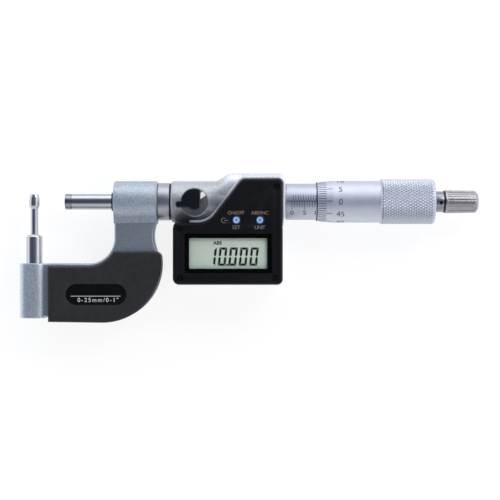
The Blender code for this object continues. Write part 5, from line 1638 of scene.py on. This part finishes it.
short = bevel_strip("marks", DIVISION_LEFT, SHORT_RIGHT)
short = copied(short, ENGRAVED, DIVISIONS, 1, DIVISION_STEP, leave_out=FIVE)
fives = bevel_strip("marks", DIVISION_LEFT, LONG_RIGHT)
fives = copied(fives, ENGRAVED, DIVISIONS // FIVE, 1, FIVE_STEP)
centre = spot(0, 0, 0)
numbers = []
for count in range(DIVISIONS // FIVE):
    made = letters("figure", str(FIVE * count), NUMBER_HEIGHT, (NUMBER_X, 0.0), 0.0)
    made = wrapped(made, THIMBLE_RADIUS + INK)
    turn = Matrix.Rotation(math.radians(NUMBER_TURN - FIVE_STEP * count), 4, "X")
    made.data.transform(Matrix.Translation(centre) @ turn @ Matrix.Translation(-centre))
    numbers.append(made)
scale = one_mesh("thimble_scale", [short, fives, *numbers])
dress(scale, "spindle_body", "satin_chrome", ENGRAVED)

# %% [markdown]
# ## The ratchet stop
# The ratchet slips when the spindle presses hard enough. Behind the thimble a collar with a spanner
# hole is screwed in, then comes a dark ring and the ribbed knob. The collar's chrome is made darker:
# painted shade from the knob. The hole could be a dark spot, but it is a real hole, which shades
# itself, and a black disc at its floor adds painted shade.

# %% Ratchet collar and ring
COLLAR_EDGE = 0.15
# The screw in the spindle, the collar and the pin that carries the knob.
COLLAR_PROFILE = [(76.3, 1.6), (82.7, 1.6), (82.7, 4.15), (86.0, 4.15), (86.0, 1.8), (94.4, 1.8)]
SPANNER_PLACE = (84.8, -0.5)
SPANNER_FLOOR = 2.6
SPANNER_TOP = 6.0
SPANNER_RADIUS = 0.7
PLUG_PROFILE = [(2.7, 0.67), (3.4, 0.67)]
PLUG_EDGE = 0.05
RING_LEFT = 86.1
RING_RIGHT = 86.5
RING_BORE = 2.0
RING_RADIUS = 4.42
RING_EDGE = 0.1
collar = turned("ratchet_collar", rod_profile(COLLAR_PROFILE, COLLAR_EDGE))
hole = drill("hole", [(SPANNER_FLOOR, SPANNER_TOP, SPANNER_RADIUS)], "Z", TINY_SIDES, SPANNER_PLACE)
dress(cut(collar, hole), "spindle_body", "satin_chrome", SHADED_COLLAR_CHROME, "ratchet_base")
# A black disc at the floor of the spanner hole: painted shade.
hole_shadow_disc = turned("spanner_hole_floor", rod_profile(PLUG_PROFILE, PLUG_EDGE), "Z", TINY_SIDES, SPANNER_PLACE)
dress(hole_shadow_disc, "spindle_body", "black_steel", BLACK_STEEL)
band = tube_profile(RING_LEFT, RING_RIGHT, RING_BORE, RING_RADIUS, RING_EDGE)
ring = turned("ratchet_dark_ring", band)
dress(ring, "spindle_body", "black_steel", BLACK_STEEL, "ratchet_ring")

# %% [markdown]
# ### The ratchet knob
# The knob tapers a little and its grip is ribbed. The ribs could be cut between grooves, but one
# rounded bar that follows the taper, copied round the core, is simpler.

# %% Ratchet knob
KNOB_LEFT = 86.6
KNOB_RIGHT = 99.8
KNOB_RADIUS = 4.6
KNOB_END_RADIUS = 4.38
KNOB_BORE = 3.3
KNOB_EDGE = 0.2
RIBS = 24
RIB_HEIGHT = 0.24
# The hollow for the collar's pin, the front band, the root of the ribs and the domed end.
KNOB_PROFILE = [
    (96.8, KNOB_BORE), (KNOB_LEFT, KNOB_BORE), (KNOB_LEFT, KNOB_RADIUS), (87.4, KNOB_RADIUS),
    (87.6, KNOB_RADIUS - RIB_HEIGHT), (98.8, KNOB_END_RADIUS - RIB_HEIGHT), (99.5, 3.6), (KNOB_RIGHT, 2.9),
]
# One rib seen from its end, and how much of its height it keeps at each station.
RIB_SECTION = (
    (-0.48, -0.06), (-0.36, 0.15), (-0.2, 0.22), (0.0, RIB_HEIGHT), (0.2, 0.22), (0.36, 0.15), (0.48, -0.06),
)
RIB_STATIONS = ((87.35, 1.0), (87.6, 1.0), (98.2, 1.0), (98.7, 0.75), (99.0, 0.1))
core = turned("ratchet_knob_body", rod_profile(KNOB_PROFILE, KNOB_EDGE))


def rib(name):
    """One rounded rib, drawn about the knob's axis, that tapers with the knob."""
    bm = bmesh.new()
    rows = []
    for along, share in RIB_STATIONS:
        t = (along - KNOB_LEFT) / (KNOB_RIGHT - KNOB_LEFT)
        root = KNOB_RADIUS + (KNOB_END_RADIUS - KNOB_RADIUS) * t - RIB_HEIGHT
        rows.append([bm.verts.new(Vector((along, y, root + z * share)) * MM) for y, z in RIB_SECTION])
    for lower, upper in zip(rows, rows[1:]):
        for i in range(len(RIB_SECTION) - 1):
            bm.faces.new((lower[i], lower[i + 1], upper[i + 1], upper[i]))
    bm.faces.new(rows[0])
    bm.faces.new(rows[-1])
    return new_object(name, bm)


ribs = copied(rib("ratchet_ribs"), KNOB_CHROME, RIBS, 1, 360.0 / RIBS)
knob = one_mesh("ratchet_knob_ribbed", [core, ribs])
dress(knob, "ratchet", "satin_chrome", KNOB_CHROME, "ratchet_knob")

# %% [markdown]
# ## The spindle lock
# A thumb lever clamps the spindle. It is one polished black moulding: a low cone with a small flat
# that catches the light, a raised grip that covers its upper left part, and a short lever that runs
# on from the grip. It could be sculpted, but an outline of arcs, raised with a soft rim, gives the
# same grip from a few radii.

# %% Lock outline
LOCK_RADIUS = 5.3
LOCK_HUB = 3.3
LOCK_REACH = 7.3
LEVER_TOP = 0.45
LEVER_BOTTOM = -2.25
LEVER_TIP = 0.95


def lock_outline():
    """The raised part of the disc, its hub and the thumb lever that runs on from it."""
    x, y = LOCK_PLACE
    left = x - LOCK_REACH + LEVER_TIP
    hub = math.degrees(math.asin(-LEVER_BOTTOM / LOCK_HUB))
    start = math.degrees(math.acos(LOCK_HUB * math.cos(math.radians(hub)) / LOCK_RADIUS))
    meet = math.degrees(math.asin(LEVER_TOP / LOCK_RADIUS))
    return [
        *arc(LOCK_PLACE, LOCK_RADIUS, start, 180 - meet),
        *arc((left, y + LEVER_TOP - LEVER_TIP), LEVER_TIP, 90, 180),
        *arc((left, y + LEVER_BOTTOM + LEVER_TIP), LEVER_TIP, 180, 270),
        *arc(LOCK_PLACE, LOCK_HUB, 180 + hub, 360 - hub),
    ]


# %% The flat on the cone
CONE_TOP = 10.7
CONE_TOP_RADIUS = 2.4
CONE_TILT = 24.5
CONE_SLOPE = math.tan(math.radians(CONE_TILT))
FLAT_REACH = 3.9
FLAT_TURN = 42.5
FLAT_SINK = 0.045
FLAT_BLOCK = 3.0


def flat_normal():
    """Where the flat on the upper right of the cone faces."""
    turn = math.radians(FLAT_TURN)
    tilt = math.radians(CONE_TILT)
    return Vector((math.sin(tilt) * math.cos(turn), math.sin(tilt) * math.sin(turn), math.cos(tilt)))


def lock_flat():
    """A block whose under side is that flat."""
    turn = math.radians(FLAT_TURN)
    out = flat_normal()
    height = CONE_TOP - (FLAT_REACH - CONE_TOP_RADIUS) * CONE_SLOPE
    x = LOCK_PLACE[0] + FLAT_REACH * math.cos(turn)
    y = LOCK_PLACE[1] + FLAT_REACH * math.sin(turn)
    made = block("flat", -FLAT_BLOCK, FLAT_BLOCK, -FLAT_BLOCK, FLAT_BLOCK, 0.0, FLAT_BLOCK)
    lean = out.to_track_quat("Z", "Y").to_matrix().to_4x4()
    place = Matrix.Translation(spot(x, y, height) - out * FLAT_SINK * MM)
    made.data.transform(place @ lean @ Matrix.Translation(-spot(0.0, 0.0, 0.0)))
    return made


# %% Lock lever
LOCK_FOOT = 8.7
LOCK_TOP = 12.1
LOCK_RIM = 0.4
LOCK_EDGE = 0.15
LEVER_LOW = 9.3
CONE_FOOT = CONE_TOP - (LOCK_RADIUS - CONE_TOP_RADIUS) * CONE_SLOPE
CONE_EDGE = 0.2
STUD_FOOT = 6.0
STUD_TOP = 10.3
STUD_ROOM = 2.2
FLAT_MATCH = 0.99997
cone = [(LOCK_FOOT, LOCK_RADIUS), (CONE_FOOT, LOCK_RADIUS), (CONE_TOP, CONE_TOP_RADIUS)]
disc = turned("lock_moulding", rod_profile(cone, CONE_EDGE), "Z", SIDES, LOCK_PLACE)
disc = cut(disc, lock_flat())
grip = extruded("grip", lock_outline(), LEVER_LOW, LOCK_TOP, LOCK_RIM, steps=4)
stud_room = drill("stud_room", [(STUD_FOOT, STUD_TOP, STUD_ROOM)], "Z", TINY_SIDES, (LOCK_X, 0.0))
lock = edged(cut(joined(disc, grip), stud_room), LOCK_EDGE, angle=40.0)
dress(lock, "lock", "lock_black", LOCK_PLASTIC, "lock_lever")
# The flat mirrors a lamp as a whole only if its shading isn't blended with the cone beside it.
outward = flat_normal()
for face in lock.data.polygons:
    if face.normal.dot(outward) > FLAT_MATCH:
        face.use_smooth = False

# %% [markdown]
# ## Keys
# Each key is a pale blue dished cap in a dark blue ring, and springs back when pressed. One turned
# shape could carry all its colours, but the ring, the cap and its dimple are simpler as three.

# %% Keys
KEY_EDGE = 0.1
CAP_ROUND = 0.3
DIMPLE_EDGE = 0.08
RING_PROFILE = [(8.0, 2.6), (8.3, 2.6), (8.3, 2.0), (10.2, 2.0), (10.35, 1.7), (10.2, 1.4)]
CAP_PROFILE = [(9.3, 0), (9.3, 1.3), (10.65, 1.3), (10.5, 0.6), (10.4, 0)]
DIMPLE_PROFILE = [(10.2, 0.42), (10.5, 0.42)]
for key, x in KEY_PLACES:
    key_body = f"{key}_key"
    place = (x, KEY_Y)
    ring = turned(f"{key_body}_ring", rod_profile(RING_PROFILE, KEY_EDGE), "Z", SMALL_SIDES, place)
    cap = turned(f"{key_body}_cap", softened(CAP_PROFILE, CAP_ROUND, steps=5), "Z", SMALL_SIDES, place)
    dimple = turned(f"{key_body}_dimple", rod_profile(DIMPLE_PROFILE, DIMPLE_EDGE), "Z", TINY_SIDES, place)
    dress(ring, key_body, "button_rubber", KEY_RING, f"button_{key}")
    dress(cap, key_body, "button_rubber", KEY_BLUE)
    dress(dimple, key_body, "button_rubber", KEY_DIMPLE)

# %% [markdown]
# ## Panel screws
# Four small black screws hold the panel. They could be four objects, but they are the same screw at
# four places. The places are loose points, and a second small tree puts a copy of one cross-slotted
# screw on each point.


# %% Tree: copies on points
def points_tree():
    inputs = [("Geometry", "Geometry"), ("Copy", "Object"), ("Material", "Material")]
    tree = new_tree("copies_on_points", inputs)
    links = tree.links
    given = tree.nodes.new("NodeGroupInput")
    model = tree.nodes.new("GeometryNodeObjectInfo")
    links.new(given.outputs["Copy"], model.inputs["Object"])
    copies = tree.nodes.new("GeometryNodeInstanceOnPoints")
    links.new(given.outputs["Geometry"], copies.inputs["Points"])
    links.new(model.outputs["Geometry"], copies.inputs["Instance"])
    end_tree(tree, copies, given.outputs["Material"])
    return tree


def on_points(name, places, copy, surface):
    """Copies of one object at several places. The object itself is used up."""
    bm = bmesh.new()
    for place in places:
        bm.verts.new(place)
    made = grown(new_object(name, bm), points_tree(), {"Copy": copy, "Material": surface})
    bpy.data.objects.remove(copy)
    return made


# %% Panel screws
SCREW_TOP = 10.0
SCREW_EDGE = 0.12
SCREW_SIDES = 40
SCREW_PROFILE = [(5.9, 0.5), (9.3, 0.5), (9.3, 1.0), (SCREW_TOP, 1.0)]
SLOT_LONG = 0.75
SLOT_NARROW = 0.14
SLOT_FLOOR = SCREW_TOP - 0.35
SLOT_TOP = SCREW_TOP + 1
screw = turned("screw", rod_profile(SCREW_PROFILE, SCREW_EDGE), "Z", SCREW_SIDES)
slots = []
for along, across in ((SLOT_LONG, SLOT_NARROW), (SLOT_NARROW, SLOT_LONG)):
    slots.append(block("slot", -along, along, -across, across, SLOT_FLOOR, SLOT_TOP))
screw = cut(screw, *slots)
places = [Vector((x, y, 0.0)) * MM for x, y in SCREW_PLACES]
screws = on_points("panel_screws", places, screw, BLACK_STEEL)
names = [f"panel_screw_{number}" for number in range(1, len(SCREW_PLACES) + 1)]
dress(screws, "frame_body", "black_steel", BLACK_STEEL, *names)

# %% [markdown]
# ## The back
# The flat back has a round battery cap with a slot for a coin. It turns to come off. The slot could
# be dark print, but it is cut, so that it shows which way the cap stands.

# %% Battery cap
CAP_STEPS = [(-10.4, 7.6), (-9.5, 7.6), (-9.5, 6.5), (-7.1, 6.5)]
CAP_EDGE = 0.2
CAP_BEVEL = 0.08
COIN_REACH = 5.5
COIN_HALF = 0.8
COIN_CORNER = 0.75
COIN_LOW = -12.0
COIN_HIGH = -9.8
cap = turned("battery_cap_moulded", rod_profile(CAP_STEPS, CAP_EDGE), "Z", LARGE_SIDES, BATTERY_PLACE)
x, y = BATTERY_PLACE
coin = rounded_box(x - COIN_REACH, x + COIN_REACH, y - COIN_HALF, y + COIN_HALF, COIN_CORNER)
slot = extruded("slot", coin, COIN_LOW, COIN_HIGH)
dress(edged(cut(cap, slot), CAP_BEVEL), "battery_door", "panel_plastic", PANEL_PLASTIC, "battery_cap")

# %% [markdown]
# ## Inside
# The board, the battery, the encoder and the screw's nut are hidden. They could be modelled finer,
# but nothing of them shows, so each keeps its own plain solid and gets a real finish.

# %% Hidden pieces
HIDDEN = {
    "battery": CELL_STEEL, "battery_cap_seal": BLACK_RUBBER, "battery_contact": BRASS,
    "button_mat": BLACK_RUBBER, "circuit_board": BOARD_GREEN, "encoder_stator": BOARD_GREEN,
    "encoder_rotor": BRASS, "rotor_key": GROUND_STEEL, "rotor_spacer": BRASS, "lock_pad": BRASS,
    "lock_screw": BLACK_STEEL, "inner_sleeve": GROUND_STEEL, "adjusting_nut": GROUND_STEEL,
    "ratchet_clutch": GROUND_STEEL, "ratchet_spring": GROUND_STEEL, "ratchet_screw": GROUND_STEEL,
}
for name, surface in HIDDEN.items():
    mesh = nodes[name].data
    mesh.materials.clear()
    mesh.materials.append(surface)
print("hidden pieces:", len(HIDDEN))

# %% [markdown]
# ## The floor
# The photograph has a pure white ground. More light would whiten it and wash out the tool as well, so
# the floor adds a glow of its own to what the camera, the metal and the glass see. The grey under
# the glow keeps the soft shadow.

# %% Floor
FLOOR_REACH = 6.0
FLOOR_DROP = 0.00002
FLOOR_GLOW = 0.84
FLOOR_GREY = (0.25, 0.25, 0.25, 1.0)
bm = bmesh.new()
ways = ((-1, -1), (1, -1), (1, 1), (-1, 1))
bm.faces.new([bm.verts.new((x * FLOOR_REACH, y * FLOOR_REACH, -FLOOR_DROP)) for x, y in ways])
floor = new_object("floor", bm)
FLOOR_WHITE = bpy.data.materials.new("white_floor")
FLOOR_WHITE.use_nodes = True
tree = FLOOR_WHITE.node_tree
tree.nodes.clear()
paths = add(FLOOR_WHITE, "ShaderNodeLightPath")
seen = math_node(tree, "MAXIMUM", paths.outputs["Is Camera Ray"], paths.outputs["Is Glossy Ray"])
seen = math_node(tree, "MAXIMUM", seen, paths.outputs["Is Transmission Ray"])
glow = add(FLOOR_WHITE, "ShaderNodeEmission")
link(FLOOR_WHITE, math_node(tree, "MULTIPLY", seen, FLOOR_GLOW), glow.inputs["Strength"])
matt = add(FLOOR_WHITE, "ShaderNodeBsdfDiffuse")
matt.inputs["Color"].default_value = FLOOR_GREY
both = add(FLOOR_WHITE, "ShaderNodeAddShader")
link(FLOOR_WHITE, glow.outputs[0], both.inputs[0])
link(FLOOR_WHITE, matt.outputs[0], both.inputs[1])
out = add(FLOOR_WHITE, "ShaderNodeOutputMaterial")
link(FLOOR_WHITE, both.outputs[0], out.inputs["Surface"])
floor.data.materials.append(FLOOR_WHITE)
print("floor:", 2 * FLOOR_REACH, "m wide")

# %% [markdown]
# ## The light tent
# The tool lies in a light tent: white all round and brighter on the far side. Straight above, where
# the camera looks in, is a darker bluish card, which gives polished rods their dark middle line. Real
# cards could stand round the tool, but the sky can hold one: how near a direction is to the card's
# middle goes through a colour ramp. The card is stretched sideways and leans to the left.

# %% Light tent
CARD_SIDE = (-0.25, 0.12, 1.0)
CARD_STRETCH = (0.55, 1.0, 1.0)
NEAR_STRENGTH = 0.74
FAR_STRENGTH = 1.66
SKY_STOPS = [
    (0.0, (1.0, 1.0, 1.0)), (0.66, (0.98, 0.98, 1.0)), (0.80, (0.38, 0.41, 0.48)),
    (0.91, (0.12, 0.135, 0.18)), (1.0, (0.08, 0.09, 0.13)),
]
world = bpy.data.worlds.new("light_tent")
bpy.context.scene.world = world
world.use_nodes = True
direction = add(world, "ShaderNodeTexCoord").outputs["Generated"]
split = add(world, "ShaderNodeSeparateXYZ")
link(world, direction, split.inputs[0])
stretch = add(world, "ShaderNodeVectorMath", operation="MULTIPLY")
stretch.inputs[1].default_value = CARD_STRETCH
link(world, direction, stretch.inputs[0])
unit = add(world, "ShaderNodeVectorMath", operation="NORMALIZE")
link(world, stretch.outputs["Vector"], unit.inputs[0])
nearness = add(world, "ShaderNodeVectorMath", operation="DOT_PRODUCT")
nearness.inputs[1].default_value = Vector(CARD_SIDE).normalized()
link(world, unit.outputs["Vector"], nearness.inputs[0])
background = world.node_tree.nodes["Background"]
link(world, ramp(world, nearness.outputs["Value"], SKY_STOPS), background.inputs["Color"])
strength = spread(world, split.outputs["Y"], -1.0, 1.0, NEAR_STRENGTH, FAR_STRENGTH)
link(world, strength, background.inputs["Strength"])
print("sky colours:", len(SKY_STOPS))

# %% [markdown]
# ## Two softboxes
# A wide softbox on the far side lights the upper edges, and a small one at the right is what the flat
# of the lock mirrors. Both could be bright patches in the sky, but a lamp's place and size are easier
# to set.

# %% Lamps
MIDDLE = (0.005, -0.018, 0.01)
# Place, width and height in metres, and power in watts.
LAMPS = {
    "far_softbox": ((0.0, 0.64, 0.19), 0.9, 0.3, 0.25),
    "right_softbox": ((0.31, 0.32, 0.41), 0.13, 0.13, 0.5),
}


def softbox(name, place, width, height, power):
    data = bpy.data.lights.new(name, "AREA")
    data.shape = "RECTANGLE"
    data.size = width
    data.size_y = height
    data.energy = power
    made = placed(name, data)
    made.location = place
    made.rotation_euler = (Vector(MIDDLE) - Vector(place)).to_track_quat("-Z", "Y").to_euler()


for name, values in LAMPS.items():
    softbox(name, *values)
print("lamps:", ", ".join(LAMPS))

# %% [markdown]
# ## Colour view
# The picture shows colours as they are, with Blender's Standard view transform.

# %% Finish
bpy.context.scene.view_settings.view_transform = "Standard"
